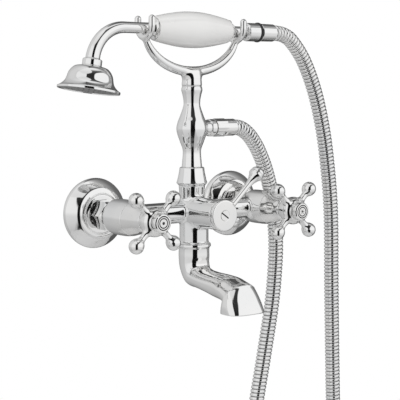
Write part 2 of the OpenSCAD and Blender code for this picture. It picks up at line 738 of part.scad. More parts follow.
// Lever, in its resting place pointing up to the right
module diverter_lever() {
    r = lever_disc_d / 2;
    k = lever_knob_d / 2;
    neck = lever_arm_d / 2;
    mid = lever_h0 + neck;
    color(chrome) out_from_wall(0) difference() {
        union() {
            turned([[0, lever_h0 - lever_boss_l], [lever_boss_r, lever_h0 - lever_boss_l], [lever_boss_r, lever_h0],
                [r - 1.8, lever_h0], [r - 1.8, lever_h0 + 1.2], [r - 0.4, lever_h0 + 1.5], [r, lever_h0 + 2],
                [r, lever_h1 - 0.9], [r - 0.4, lever_h1 - 0.3], [r - 1.1, lever_h1], [0, lever_h1]]);
            rotate([0, 0, lever_angle]) {
                translate([lever_l, 0, mid]) rotate([0, 90, 0])
                    turned(concat([[0, r - 1 - lever_l]], smooth([[neck, r - 1 - lever_l], [neck, -15], [neck + 0.5, -9],
                        [k * 0.76, -4], [k, -1.4]], 4), [[k, 0.2], [k - 0.6, 0.7], [k - 0.5, 1.2]],
                        smooth([[k - 0.2, 1.4], [k * 0.9, 3.6], [k * 0.6, 5.8], [0.6, 6.9]], 4), [[0, 6.9]]));
            }
        }
        rod(diverter_spindle_r + thread_fit, lever_h0 - lever_boss_l - 1, lever_web_h);
        rod(screw_r + thread_fit, lever_h0 - lever_boss_l, lever_h1 + 1);
        rod(lever_screw_d / 2 + thread_fit, lever_h1 - lever_screw_t, lever_h1 + 1);
    }
}

module diverter_screw() {
    seat = lever_h1 - lever_screw_t;
    slot_w = 1.2;
    slot_angle = -35;
    color(chrome) out_from_wall(0) difference() {
        union() {
            rod(screw_r, seat - lever_web_t - 6, seat);
            rod(lever_screw_d / 2, seat, lever_h1 + 0.3);
        }
        rotate([0, 0, slot_angle]) translate([-lever_screw_d, -slot_w / 2, lever_h1 - 0.9])
            cube([2 * lever_screw_d, slot_w, 2]);
    }
}

// Riser

module riser_washer() {
    z = hub_rise + stub_l;
    color(rubber) on_riser() sleeve(column_bore_r, column_thread_r - 0.2, z, z + riser_washer_t);
}

module riser_collar() {
    r = collar_d / 2;
    low = stub_r + thread_fit;
    top = column_thread_r + thread_fit;
    step = hub_rise + stub_l + riser_washer_t;
    outside = smooth([[r, hub_rise + 2.6], [r - 0.9, hub_rise + 5.4], [column_foot_r + 2.3, collar_z1 - 4.5],
        [column_foot_r + 1.8, collar_z1 - 0.6]], 4);
    color(chrome) on_riser()
        turned(concat([[low, hub_rise], [hub_d / 2 + 0.6, hub_rise], [r - 1.2, hub_rise + 0.9], [r - 0.2, hub_rise + 1.8]],
            outside, [[column_foot_r + 1.2, collar_z1], [top, collar_z1], [top, step], [low, step]]));
}

module riser_column() {
    foot = column_foot_r;
    belly = belly_d / 2;
    side = smooth([[foot, collar_z1], [foot - 0.5, collar_z1 + 5], [foot - 1, outlet_z - 19.5],
        [foot + 1.4, outlet_z - 12], [belly - 0.9, outlet_z - 5.6], [belly, outlet_z - 0.5], [belly - 1, outlet_z + 5],
        [foot + 1.2, outlet_z + 11],
        [foot - 1.5, outlet_z + 19], [foot - 1.7, outlet_z + 23.5], [foot - 0.9, column_z1 - 8],
        [foot + 0.2, column_z1 - 3.6], [foot - 0.2, column_z1 - 1], [foot - 0.6, column_z1]], 5);
    tail_z0 = hub_rise + stub_l + riser_washer_t;
    color(chrome) difference() {
        union() {
            on_riser() turned(concat([[0, tail_z0], [column_thread_r, tail_z0], [column_thread_r, collar_z1]], side,
                [[0, column_z1]]));
            on_outlet() turned([[0, 4], [outlet_d / 2 - 0.8, 4], [outlet_d / 2 - 0.8, outlet_l - 6],
                [outlet_d / 2, outlet_l - 5.4], [outlet_d / 2, outlet_l - 0.6], [outlet_d / 2 - 0.6, outlet_l], [0, outlet_l]]);
        }
        on_riser() rod(column_bore_r, tail_z0 - 1, outlet_z + column_bore_r);
        on_riser() rod(stud_r + thread_fit, column_z1 - stud_hold, column_z1 + 1);
        on_outlet() rod(outlet_bore_r, 0, outlet_l);
        on_outlet() rod(hose_thread_r + thread_fit, outlet_l - nipple_in, outlet_l + 1);
    }
}

module outlet_nipple() {
    color(brass) on_outlet()
        sleeve(outlet_bore_r + thread_fit, hose_thread_r, outlet_l - nipple_in, outlet_l + nipple_out);
}

// Non-return cartridge: a sleeve, and a poppet on a stem that three ribs hold
module check_valve() {
    z0 = outlet_l - nipple_in + 2;
    z1 = outlet_l + nipple_out - 4;
    stem_r = 1.2;
    poppet_r = outlet_bore_r - 1.6;
    rib_t = 0.9;
    rib_l = 4;
    color(moulded) on_outlet() {
        sleeve(outlet_bore_r - 1, outlet_bore_r, z0, z1);
        turned([[0, z0], [stem_r, z0], [stem_r, z0 + 6], [poppet_r, z0 + 8], [poppet_r, z0 + 9], [0, z0 + 9]]);
        for (a = [0:120:240]) rotate([0, 0, a]) translate([stem_r - 0.5, -rib_t / 2, z0 + 0.5])
            cube([outlet_bore_r - stem_r, rib_t, rib_l]);
    }
}

// Cradle

module cradle_stud() {
    color(brass) on_riser() rod(stud_r, column_z1 - stud_hold + 0.3, column_z1 + stud_hold - 0.3);
}

// One yoke: a U of round bar across the handset, with round tips
module yoke(x) {
    translate([x, -axis_h, yoke_z]) {
        rotate([90, 0, 90]) rotate([0, 0, 180]) rotate_extrude(angle = 180) translate([yoke_r, 0]) circle(r = prong_r);
        for (s = [-1, 1]) translate([0, s * yoke_r, 0]) {
            cylinder(r = prong_r, h = prong_l);
            translate([0, 0, prong_l]) sphere(r = prong_r);
        }
    }
}

module cradle() {
    thick = cradle_arm_d / 2;
    arm_x = yoke_x + 0.6;
    arm_top = yoke_z - 2.8;
    arm_h = arm_top - (column_z1 + 8.4 + thick);
    reach = 16;
    path = [for (k = [-24:24]) let (a = 270 + k / 24 * (90 - reach)) [arm_x * cos(a), 0, arm_top + arm_h * sin(a)]];
    rings = [for (i = [0:len(path) - 1])
        let (taper = 1 - 0.36 * pow(abs(i - 24) / 24, 3))
        ring(path[i], heading(path, i), [0, 1, 0], thick * taper, thick * 1.1 * taper, 20)];
    foot = column_foot_r - 0.6;
    color(chrome) difference() {
        union() {
            on_riser() turned(concat([[0, column_z1]], smooth([[foot, column_z1], [foot + 0.4, column_z1 + 1.2],
                [foot + 0.1, column_z1 + 5], [foot - 0.2, column_z1 + 9], [foot - 2.6, column_z1 + 13.4]], 4),
                [[0, column_z1 + 13.6]]));
            translate([0, -axis_h, 0]) skin(rings);
            for (x = [-yoke_x, yoke_x]) yoke(x);
        }
        on_riser() rod(stud_r + thread_fit, column_z1 - 1, column_z1 + stud_hold);
    }
}

// Spout

spout_nipple_r = 8;
spout_nipple_hold = 8.5;
spout_nipple_z1 = spout_nipple_hold - hub_drop;
spout_washer_r = 10.6;
spout_washer_t = 1;

module spout_washer() {
    color(rubber) on_spout() sleeve(spout_nipple_r + thread_fit, spout_washer_r, -hub_drop, spout_washer_t - hub_drop);
}

module spout_nipple() {
    color(brass) on_spout() sleeve(hub_bore_d / 2, spout_nipple_r, -hub_drop - spout_nipple_hold, spout_nipple_z1);
}

// Sections of the spout: place out from its joint's axis, place below the joint, heading from straight
// down towards level, half-width and half-thickness, and how square the section is
module spout() {
    j = spout_joint_d / 2;
    n = lower_hub_d / 2 + 0.6;
    m = mouth_w / 2;
    d = mouth_d / 2;
    s = spout_reach;
    v = spout_drop;
    sections = [
        [0, 0, 0, j, j, 2], [0, 2.2, 0, j, j, 2], [0, 4, 0, n + 0.2, n + 0.2, 2], [0, 11, 3, n + 0.2, n + 0.2, 2],
        [0.8, 19, 22, n, n - 0.4, 2], [5.5, v - 24.5, 50, n - 0.3, n - 1.6, 2], [14.5, v - 22.2, 73, n - 0.5, n - 4, 2.1],
        [s - 41, v - 20.6, 82, n - 0.4, n - 4.1, 2.2], [s - 28, v - 19.2, 82, n + 0.3, n - 3.2, 2.3],
        [s - 17, v - 18.1, 76, m - 3.6, d - 2.5, 2.1], [s - 10.8, v - 16.5, 63, m - 3.2, d - 2.2, 2.05],
        [s - 5.8, v - 14.6, 48.5, m - 2.6, d - 0.9, 2.05], [s - 5, v - 13.2, 45, m - 2.1, d - 0.8, 2.1],
        [s - 2.4, v - 6.4, 23, m - 0.2, d - 1.3, 2.5], [s, v, 0, m, d, 3]
    ];
    sides = 32;
    steps = 2;
    fine = smooth(sections, steps);
    bore = spout_nipple_r + 0.12;
    outer = [for (q = fine) spout_ring(q, 0, sides)];
    inner_sections = concat([for (q = fine) if (q[1] < 11) [q[0], q[1], q[2], bore, bore, 2]],
        [for (q = fine) if (q[1] >= 11) [q[0], q[1], q[2], max(bore, q[3] - spout_wall * 1.3), q[4] - spout_wall, q[5]]]);
    inner = [for (q = inner_sections) spout_ring(q, 0, sides)];
    color(chrome) translate([0, -axis_h - spout_out, -hub_drop]) hollow_skin(outer, inner);
}

function spout_ring(q, grow, sides) =
    ring([0, -q[0], -q[1]], [0, -sin(q[2]), -cos(q[2])], [0, -cos(q[2]), sin(q[2])], q[3] + grow, q[4] + grow, sides, q[5]);

// Hose and its nuts

module riser_hose_washer() {
    z = outlet_l + nipple_out;
    color(rubber) on_outlet() sleeve(outlet_bore_r, hose_thread_r - 0.1, z, z + hose_washer_t);
}

module riser_hose_nut() {
    r = hose_thread_r + thread_fit + hose_nut_wall;
    step = outlet_l + nipple_out + hose_washer_t;
    end_r = hose_d / 2 + 0.6;
    color(chrome) on_outlet() difference() {
        union() {
            translate([0, 0, riser_nut_x0]) cylinder(r = r / cos(22.5) - 0.1, h = 12, $fn = 8);
            turned([[0, riser_nut_x0], [r - 0.3, riser_nut_x0], [r, riser_nut_x0 + 0.6], [r, riser_nut_x0 + 13],
                [end_r, riser_nut_x1 - 0.8], [end_r - 0.5, riser_nut_x1], [0, riser_nut_x1]]);
        }
        rod(hose_thread_r + thread_fit, riser_nut_x0 - 1, step);
        rod(hose_end_r + hose_room, riser_nut_x0, riser_nut_x1 + 1);
    }
}

module hose() {
    route = smooth(hose_route, hose_steps);
    run = lengths(route);
    total = run[len(run) - 1];
    rings = 2 * rib_count;
    r = hose_d / 2;
    outer = [for (i = [0:rings])
        let (s = total * i / rings, here = at_length(route, run, s))
        let (t = hose_heading(route, run, total, s))
        let (w = s < plain_start || s > total - plain_end ? hose_end_r : i % 2 == 0 ? r - rib_depth : r)
        ring(here, t, [0, 1, 0], w, w, hose_sides)];
    inner = [for (i = [0:4:rings])
        let (s = total * i / rings)
        ring(at_length(route, run, s), hose_heading(route, run, total, s), [0, 1, 0], hose_bore_d / 2, hose_bore_d / 2,
            hose_sides)];
    echo(hose_length = total, least_gap = least_gap(route, run, hose_d));
    color(chrome) hollow_skin(outer, inner);
}

// Direction of the hose at a running length
function hose_heading(route, run, total, s) =
    unit(at_length(route, run, min(total, s + 1)) - at_length(route, run, max(0, s - 1)));

// Least space between two stretches of the hose that lie further apart along it than a tight bend
function least_gap(route, run, d) =
    min([for (i = [0:6:len(route) - 1], k = [i:6:len(route) - 1])
        if (run[k] - run[i] > 12 * d) norm(route[k] - route[i]) - d]);

module handset_hose_nut() {
    r = tail_d / 2 - 0.3;
    end_r = hose_d / 2 + 0.6;
    step = tail_x1 + tail_ring_l + hose_thread_l + hose_washer_t;
    color(chrome) on_handset() difference() {
        turned([[0, handset_nut_x0], [r - 0.5, handset_nut_x0], [r, handset_nut_x0 + 0.6], [r, handset_nut_x0 + 5],
            [end_r + 0.2, handset_nut_x1 - 1.2], [end_r - 0.5, handset_nut_x1], [0, handset_nut_x1]]);
        rod(hose_thread_r + thread_fit, handset_nut_x0 - 1, step);
        rod(hose_end_r + hose_room, handset_nut_x0, handset_nut_x1 + 1);
    }
}

module handset_hose_washer() {
    z = tail_x1 + tail_ring_l + hose_thread_l;
    color(rubber) on_handset() sleeve(outlet_bore_r, hose_thread_r - 0.1, z, z + hose_washer_t);
}

// Handset

module gooseneck() {
    sides = 20;
    straight = [for (x = [front_ferrule_x0 : -(front_ferrule_x0 - goose_x0) / 6 : goose_x0 + 0.01]) [x, 0, handset_z]];
    bend = [for (k = [0:16]) let (a = goose_turn * k / 16)
        [goose_x0 - goose_bend_r * sin(a), 0, handset_z - goose_bend_r * (1 - cos(a))]];
    path = concat(straight, bend);
    n = len(path) - 1;
    wide = goose_end_d / 2 - neck_r;
    function grow(i) = i < 5 ? 0 : wide * (i - 5) / (n - 5);
    function way(i) = i == 0 ? [-1, 0, 0] : i == n ? [-cos(goose_turn), 0, -sin(goose_turn)] : heading(path, i);
    outer = [for (i = [0:n]) ring(path[i], way(i), [0, 1, 0], neck_r + grow(i), neck_r + grow(i), sides)];
    bore = goose_bore_r / cos(180 / sides);
    inner = [for (i = [0:n]) ring(path[i], way(i), [0, 1, 0], bore, bore, sides)];
    color(chrome) translate([0, -axis_h, 0]) hollow_skin(outer, inner);
}

module rose_collar() {
    r = rose_collar_r;
    color(chrome) on_rose()
        turned([[goose_bore_r, thread_fit], [r - 0.8, thread_fit], [r, 0.8], [r, rose_collar_l - 0.6], [r - 0.6, rose_collar_l],
            [goose_bore_r, rose_collar_l]]);
}

module rose_bell() {
    r = rose_d / 2;
    z0 = rose_collar_l;
    z1 = z0 + rose_h;
    w = rose_wall;
    outside = smooth([[rose_collar_r + 0.8, z0], [r * 0.54, z0 + 1.4], [r * 0.69, z0 + rose_h * 0.3],
        [r * 0.77, z0 + rose_h * 0.64], [r * 0.89, z1 - 3.6], [r, z1 - 1.8]], 5);
    inside = smooth([[r - w - 0.6, z1 - spray_plate_t + 0.4], [r * 0.89 - w, z1 - 2.8], [r * 0.77 - w, z0 + rose_h * 0.64],
        [r * 0.69 - w, z0 + rose_h * 0.34], [r * 0.54 - w, z0 + 1.8 + w], [goose_bore_r + 2, z0 + w + 0.6]], 5);
    color(chrome) on_rose()
        turned(concat([[goose_bore_r, z0]], outside, [[r, z1], [r - w, z1], [r - w, z1 - spray_plate_t + 0.4]], inside, [[goose_bore_r, z0 + w]]));
}

// Flat plate in the rose's mouth, drilled with rings of spray holes
module spray_plate() {
    z1 = rose_collar_l + rose_h;
    plate_r = rose_d / 2 - rose_wall - thread_fit;
    hole_r = 0.7;
    ring_step = 4.6;
    color(chrome) on_rose() difference() {
        rod(plate_r, z1 - spray_plate_t + 0.4, z1 - 0.4);
        for (k = [1:4], i = [0:6 * k - 1]) rotate([0, 0, 60 * i / k]) translate([k * ring_step, 0, 0])
            rod(hole_r, z1 - spray_plate_t - 1, z1 + 1);
    }
}

module front_ferrule() {
    e = grip_end_d / 2;
    color(chrome) on_handset()
        turned([[goose_bore_r, front_ferrule_x0], [neck_r + 0.6, front_ferrule_x0], [neck_r + 1.4, front_ferrule_x0 + 0.8],
            [neck_r + 2, front_ferrule_x0 + 2], [e - 1.2, grip_x0 - 1], [e - 0.8, grip_x0], [goose_bore_r, grip_x0]]);
}

module grip() {
    e = grip_end_d / 2;
    big = grip_d / 2;
    mid = (grip_x0 + grip_x1) / 2;
    half = grip_l / 2;
    side = smooth([[e - 0.6, grip_x0], [e + 0.4, grip_x0 + 1.2], [e + (big - e) * 0.58, mid - half * 0.62],
        [e + (big - e) * 0.92, mid - half * 0.28], [big, mid], [e + (big - e) * 0.92, mid + half * 0.28],
        [e + (big - e) * 0.58, mid + half * 0.62], [e + 0.4, grip_x1 - 1.2], [e - 0.6, grip_x1]], 6);
    color(porcelain) on_handset()
        turned(concat([[grip_tube_r + thread_fit, grip_x0]], side, [[grip_tube_r + thread_fit, grip_x1]]));
}

module grip_tube() {
    color(brass) on_handset() sleeve(grip_tube_bore_r, grip_tube_r, -yoke_x - 6, rear_neck_x1 + 6);
}

module rear_ferrule() {
    e = grip_end_d / 2;
    color(chrome) on_handset()
        turned(concat([[goose_bore_r, grip_x1], [e - 0.8, grip_x1]], smooth([[e - 0.6, grip_x1 + 0.8],
            [neck_r + 2.8, grip_x1 + 2.6], [neck_r + 1.8, grip_x1 + 4], [neck_r + 2.2, grip_x1 + 5],
            [neck_r + 1.2, grip_x1 + 6.4], [neck_r, grip_x1 + 7]], 4), [[neck_r, grip_x1 + ferrule_l],
            [goose_bore_r, grip_x1 + ferrule_l]]));
}

module handset_tail() {
    r = tail_d / 2;
    x0 = grip_x1 + ferrule_l;
    x1 = tail_x1;
    thread_x1 = x1 + tail_ring_l + hose_thread_l;
    color(chrome) on_handset() difference() {
        turned([[0, x0], [neck_r, x0], [neck_r, rear_neck_x1], [r - 1.4, rear_neck_x1 + 0.6], [r - 1, rear_neck_x1 + 1.4],
            [r - 1.6, rear_neck_x1 + 2.2], [r - 0.2, rear_neck_x1 + 3], [r, rear_neck_x1 + 4], [r, x1 - 0.5], [r - 0.5, x1],
            [hose_thread_r, x1], [hose_thread_r, thread_x1 - 0.6], [hose_thread_r - 0.6, thread_x1], [0, thread_x1]]);
        rod(goose_bore_r, x0 - 1, rear_neck_x1 + 6.2);
        rod(outlet_bore_r - 1, x0, thread_x1 + 1);
    }
}

module tail_ring() {
    r = tail_d / 2 + 0.7;
    bore = hose_thread_r + thread_fit;
    x1 = tail_x1 + tail_ring_l;
    color(rubber) on_handset()
        turned([[bore, tail_x1], [r - 0.6, tail_x1], [r, tail_x1 + 0.6], [r, x1 - 0.6], [r - 0.6, x1], [bore, x1]]);
}

wall_flange(-valve_x);  // left_wall_flange
wall_flange(valve_x);  // right_wall_flange
wall_union(-valve_x);  // left_wall_union
wall_union(valve_x);  // right_wall_union
union_nut(-valve_x);  // left_union_nut
union_nut(valve_x);  // right_union_nut
union_washer(-valve_x);  // left_union_washer
union_washer(valve_x);  // right_union_washer
inlet_tail(-valve_x);  // left_inlet_tail
inlet_tail(valve_x);  // right_inlet_tail
mixer_body();
seat_seal(-valve_x);  // left_seat_seal
seat_seal(valve_x);  // right_seat_seal
headwork(-valve_x);  // left_headwork
headwork(valve_x);  // right_headwork
fixed_disc(-valve_x);  // left_fixed_disc
fixed_disc(valve_x);  // right_fixed_disc
moving_disc(-valve_x);  // left_moving_disc
moving_disc(valve_x);  // right_moving_disc
spindle(-valve_x);  // left_spindle
spindle(valve_x);  // right_spindle
bonnet(-valve_x);  // left_bonnet
bonnet(valve_x);  // right_bonnet
cross_handle(-valve_x);  // left_cross_handle
cross_handle(valve_x);  // right_cross_handle
handle_screw(-valve_x);  // handle_screw_left
handle_screw(valve_x);  // handle_screw_right
index_button(-valve_x, true);  // left_index_button
index_button(valve_x, false);  // right_index_button
diverter_sleeve();
diverter_plug();
diverter_o_rings();
diverter_gland();
diverter_lever();
diverter_screw();
riser_washer();
riser_collar();
riser_column();
outlet_nipple();
check_valve();
cradle_stud();
cradle();
spout_washer();
spout_nipple();
spout();
riser_hose_washer();
riser_hose_nut();
hose();
handset_hose_nut();
handset_hose_washer();
gooseneck();
rose_collar();
rose_bell();
spray_plate();
front_ferrule();
grip();
grip_tube();
rear_ferrule();
handset_tail();
tail_ring();
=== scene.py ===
"""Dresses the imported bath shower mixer: chrome castings and turnings, ribbed hose, porcelain, studio."""

import json
import math

import bmesh
import bpy
import numpy as np
from mathutils import Matrix, Vector

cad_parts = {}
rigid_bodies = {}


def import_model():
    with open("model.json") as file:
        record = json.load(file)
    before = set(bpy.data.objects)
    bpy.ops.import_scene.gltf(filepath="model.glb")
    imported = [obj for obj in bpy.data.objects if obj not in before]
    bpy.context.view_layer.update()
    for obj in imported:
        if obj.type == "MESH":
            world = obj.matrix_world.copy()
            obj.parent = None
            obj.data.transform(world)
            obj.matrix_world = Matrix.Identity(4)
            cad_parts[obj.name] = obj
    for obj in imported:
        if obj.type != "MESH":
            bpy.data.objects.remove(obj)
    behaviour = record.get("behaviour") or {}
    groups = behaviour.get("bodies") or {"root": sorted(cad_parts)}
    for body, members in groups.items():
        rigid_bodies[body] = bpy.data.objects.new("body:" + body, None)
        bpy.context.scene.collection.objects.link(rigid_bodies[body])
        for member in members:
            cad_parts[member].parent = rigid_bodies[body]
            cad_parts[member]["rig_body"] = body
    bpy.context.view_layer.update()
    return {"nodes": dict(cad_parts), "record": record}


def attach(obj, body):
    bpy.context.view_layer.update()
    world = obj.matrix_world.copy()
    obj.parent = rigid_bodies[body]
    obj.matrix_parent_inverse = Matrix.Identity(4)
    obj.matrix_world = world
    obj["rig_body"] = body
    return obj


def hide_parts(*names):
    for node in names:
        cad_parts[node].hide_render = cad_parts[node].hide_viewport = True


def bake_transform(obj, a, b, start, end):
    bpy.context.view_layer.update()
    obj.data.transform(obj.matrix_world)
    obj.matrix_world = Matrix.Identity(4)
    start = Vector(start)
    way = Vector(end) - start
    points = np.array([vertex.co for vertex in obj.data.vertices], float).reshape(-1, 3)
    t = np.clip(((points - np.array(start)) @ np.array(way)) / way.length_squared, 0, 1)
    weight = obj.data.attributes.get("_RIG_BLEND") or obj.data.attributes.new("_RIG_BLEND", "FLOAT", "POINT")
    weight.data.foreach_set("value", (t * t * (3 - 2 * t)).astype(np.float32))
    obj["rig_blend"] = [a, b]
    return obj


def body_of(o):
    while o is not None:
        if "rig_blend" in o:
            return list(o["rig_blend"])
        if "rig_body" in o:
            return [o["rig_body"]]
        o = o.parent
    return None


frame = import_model()
scene = bpy.context.scene

# Sizes of the part, in millimetres as in its source: H goes out from the wall, Z up and X to the right
MM = 0.001
CLEARANCE = 0.05
VALVE_X = 75.0
AXIS_H = 46.0
SPOUT_H = 49.0
FLANGE_R = 30.5
FLANGE_COLLAR_R = 17.0
FLANGE_H = 17.0
FLANGE_HOLE_R = 10.53
BARREL_R = 15.2
BARREL_FRONT_R = 14.1
BARREL_H0 = 38.0
BARREL_H1 = 66.0
BONNET_FRONT_R = 9.6
BONNET_HOLE_R = 6.65
BONNET_WALL = 1.6
BONNET_H1 = 86.0
CROSSBAR_R = 9.3
CROSSBAR_HALF = 67.4
DIVERTER_R = 13.0
DIVERTER_H0 = 34.0
DIVERTER_H1 = 87.8
HUB_R = 11.6
HUB_RISE = 23.0
DROP_R = 12.7
HUB_DROP = 28.0
RISER_THREAD_R = 9.0
RISER_THREAD_L = 7.0
BUTTON_R = 8.0
BUTTON_H1 = 107.5
HANDLE_H0 = 86.3
HANDLE_H1 = 101.7
HANDLE_WEB_H0 = 94.9
HANDLE_WEB_H1 = 96.5
HANDLE_ARM_H = 95.7
HANDLE_REACH = 26.0
HANDLE_BALL_R = 6.25
HANDLE_SCREW_HEAD_R = 5.2
SPINDLE_R = 4.05
SCREW_R = 2.05
LEVER_R = 13.6
LEVER_H0 = 88.1
LEVER_H1 = 92.7
LEVER_BOSS_R = 7.4
LEVER_BOSS_L = 5.0
LEVER_NECK_R = 2.7
LEVER_KNOB_R = 6.5
LEVER_REACH = 49.0
LEVER_TURN = math.radians(43)
LEVER_SCREW_HEAD_R = 4.45
COLLAR_R = 13.5
COLLAR_TOP_R = 10.8
COLLAR_Z1 = 39.0
COLUMN_SPIGOT_R = 7.5
COLUMN_SPIGOT_Z = 31.5
COLUMN_END_R = 9.0
COLUMN_BELLY_R = 13.5
COLUMN_BORE_R = 5.0
COLUMN_Z1 = 109.6
OUTLET_Z = 73.0
OUTLET_R = 6.8
OUTLET_LIP_R = 7.6
OUTLET_L = 23.5
STUD_HOLE_R = 4.05
FORK_R = 4.2
FORK_RISE = 8.4
FORK_SPAN = 74
FORK_FOOT_R = 8.4
YOKE_X = 49.5
YOKE_Z = 160.5
YOKE_R = 10.3
PRONG_R = 2.8
PRONG_L = 5.4
SPOUT_JOINT_R = 14.7
SPOUT_NECK_R = 13.3
SPOUT_MOUTH_WIDE = 18.8
SPOUT_MOUTH_DEEP = 13.2
SPOUT_REACH = 67.0
SPOUT_FALL = 51.6
SPOUT_BORE_R = 8.12
SPOUT_BORE_L = 11.0
HANDSET_Z = 158.0
NECK_R = 4.7
GRIP_X0 = -40.0
GRIP_X1 = 38.5
GRIP_END_R = 10.2
GRIP_R = 15.6
FRONT_FERRULE_X = -44.0
REAR_FERRULE_X = 45.7
TAIL_X0 = 57.5
TAIL_X1 = 73.0
TAIL_R = 8.2
TAIL_SPIGOT_R = 6.0
TAIL_SPIGOT_X1 = 80.4
TAIL_BORE_R = 3.0
RING_L = 2.4
RING_R = 8.9
GOOSE_X0 = -70.5
GOOSE_BEND_R = 31.5
GOOSE_TURN = math.radians(81)
GOOSE_END_R = 6.0
BORE_R = 3.25
ROSE_R = 26.0
ROSE_H = 20.5
ROSE_WALL = 1.4
ROSE_COLLAR_L = 6.0
ROSE_COLLAR_R = 8.1
HOSE_R = 7.0
HOSE_END_R = 5.6
HOSE_BORE_R = 4.0

# Route of the hose, in metres
HOSE_ROUTE = [
    (0.0335, -0.046, 0.073), (0.0405, -0.046, 0.073), (0.0475, -0.046, 0.073), (0.0545, -0.0455, 0.072),
    (0.061, -0.045, 0.069), (0.0675, -0.044, 0.0645), (0.0735, -0.043, 0.0585), (0.0795, -0.042, 0.051),
    (0.088, -0.0405, 0.037), (0.0955, -0.039, 0.02), (0.0995, -0.038, 0.007), (0.103, -0.038, -0.013),
    (0.105, -0.038, -0.035), (0.1045, -0.038, -0.058), (0.1005, -0.038, -0.095), (0.0905, -0.038, -0.146),
    (0.08, -0.038, -0.198), (0.0735, -0.038, -0.256), (0.073, -0.0385, -0.332), (0.079, -0.0395, -0.382),
    (0.091, -0.041, -0.42), (0.11, -0.0425, -0.4435), (0.133, -0.044, -0.4475), (0.153, -0.045, -0.4315),
    (0.167, -0.046, -0.399), (0.174, -0.046, -0.355), (0.176, -0.046, -0.3), (0.1755, -0.046, -0.235),
    (0.173, -0.046, -0.165), (0.1705, -0.046, -0.085), (0.1685, -0.046, -0.01), (0.162, -0.046, 0.043),
    (0.1545, -0.046, 0.078), (0.1445, -0.046, 0.108), (0.131, -0.046, 0.134), (0.116, -0.046, 0.151),
    (0.106, -0.046, 0.1565), (0.0965, -0.046, 0.158), (0.0895, -0.046, 0.158), (0.0825, -0.046, 0.158),
]
# Slanting up to the right: before the first point the hose stays, past the second it goes with the handset
HOSE_STILL = (0.0654, -0.046, 0.066)
HOSE_LIFTED = (0.1153, -0.046, 0.1159)


# Curves and meshes

TINY = 1e-6
SHARP_CORNER = math.radians(20)
CORNER_SHARE = 0.42


def curve_through(points, steps):
    """Smooth curve through the given points."""
    p = np.array(points, float)
    last = len(p) - 1
    out = []
    for i in range(last):
        a, b, c, d = p[max(i - 1, 0)], p[i], p[i + 1], p[min(i + 2, last)]
        for k in range(steps):
            t = k / steps
            bend = (2 * a - 5 * b + 4 * c - d) * t * t + (3 * b - a - 3 * c + d) * t**3
            out.append(0.5 * (2 * b + (c - a) * t + bend))
    out.append(p[last])
    return np.array(out)


def softened(profile, radius):
    """A closed profile with its sharp corners rounded; corners on the axis stay."""
    p = [np.array(q, float) for q in profile]
    out = []
    for i, here in enumerate(p):
        before = p[i - 1] - here
        after = p[(i + 1) % len(p)] - here
        lb = np.linalg.norm(before)
        la = np.linalg.norm(after)
        if lb < TINY or la < TINY:
            continue
        cosine = float(before @ after) / (lb * la)
        turn = math.pi - math.acos(max(-1.0, min(1.0, cosine)))
        if here[0] < TINY or turn < SHARP_CORNER:
            out.append(here)
            continue
        reach = min(radius, CORNER_SHARE * lb, CORNER_SHARE * la)
        start = here + before / lb * reach
        end = here + after / la * reach
        for t in (0.0, 0.3, 0.7, 1.0):
            out.append((1 - t) ** 2 * start + 2 * t * (1 - t) * here + t * t * end)
    return [(float(q[0]), float(q[1])) for q in out]


def turned(profile, sides):
    """Vertices and faces of a turning round local Z."""
    verts = []
    faces = []
    rows = []
    for r, z in profile:
        first = len(verts)
        if r < TINY:
            verts.append((0.0, 0.0, z))
            rows.append([first] * sides)
            continue
        for i in range(sides):
            q = 2 * math.pi * i / sides
            verts.append((r * math.cos(q), r * math.sin(q), z))
        rows.append(list(range(first, first + sides)))
    for k, row in enumerate(rows):
        other = rows[(k + 1) % len(rows)]
        if row[0] == row[1] and other[0] == other[1]:
            continue
        for i in range(sides):
            j = (i + 1) % sides
            corners = [row[i], row[j], other[j], other[i]]
            faces.append(tuple(dict.fromkeys(corners)))
    return verts, faces


def skin(rings):
    """Vertices and faces over a list of rings, the last joined to the first."""
    sides = len(rings[0])
    verts = [tuple(v) for ring in rings for v in ring]
    faces = []
    count = len(rings)
    for k in range(count):
        a = k * sides
        b = (k + 1) % count * sides
        for i in range(sides):
            j = (i + 1) % sides
            faces.append((a + i, a + j, b + j, b + i))
    return verts, faces


def ring(centre, way, side, half_a, half_b, sides, power=2.0):
    """Ring square to way: half_b along the side vector, half_a across it, squarer with a higher power."""
    way = way / np.linalg.norm(way)
    v = side - (side @ way) * way
    v = v / np.linalg.norm(v)
    u = np.cross(v, way)
    q = 2 * math.pi * np.arange(sides) / sides
    x = np.cos(q)
    y = np.sin(q)
    px = np.sign(x) * np.abs(x) ** (2 / power) * half_a
    py = np.sign(y) * np.abs(y) ** (2 / power) * half_b
    return centre + px[:, None] * u + py[:, None] * v


def out_from_wall(x):
    """Place whose Z axis comes out of the wall at x."""
    return Matrix.Translation((x, 0, 0)) @ Matrix.Rotation(math.radians(90), 4, "X")


SIDEWAYS = Matrix.Rotation(math.radians(90), 4, "Y")
ON_RISER = Matrix.Translation((0, -AXIS_H, 0))
ON_CROSSBAR = ON_RISER @ SIDEWAYS
ON_SPOUT = Matrix.Translation((0, -SPOUT_H, 0))
ON_OUTLET = Matrix.Translation((0, -AXIS_H, OUTLET_Z)) @ SIDEWAYS
ON_HANDSET = Matrix.Translation((0, -AXIS_H, HANDSET_Z)) @ SIDEWAYS


def goose_point(turn):
    """X and Z of the gooseneck's middle line where its bend has turned so far."""
    return (GOOSE_X0 - GOOSE_BEND_R * math.sin(turn), HANDSET_Z - GOOSE_BEND_R * (1 - math.cos(turn)))


GOOSE_END = goose_point(GOOSE_TURN)
ROSE_TILT = Matrix.Rotation(math.radians(270) - GOOSE_TURN, 4, "Y")
ON_ROSE = Matrix.Translation((GOOSE_END[0], -AXIS_H, GOOSE_END[1])) @ ROSE_TILT


# Materials

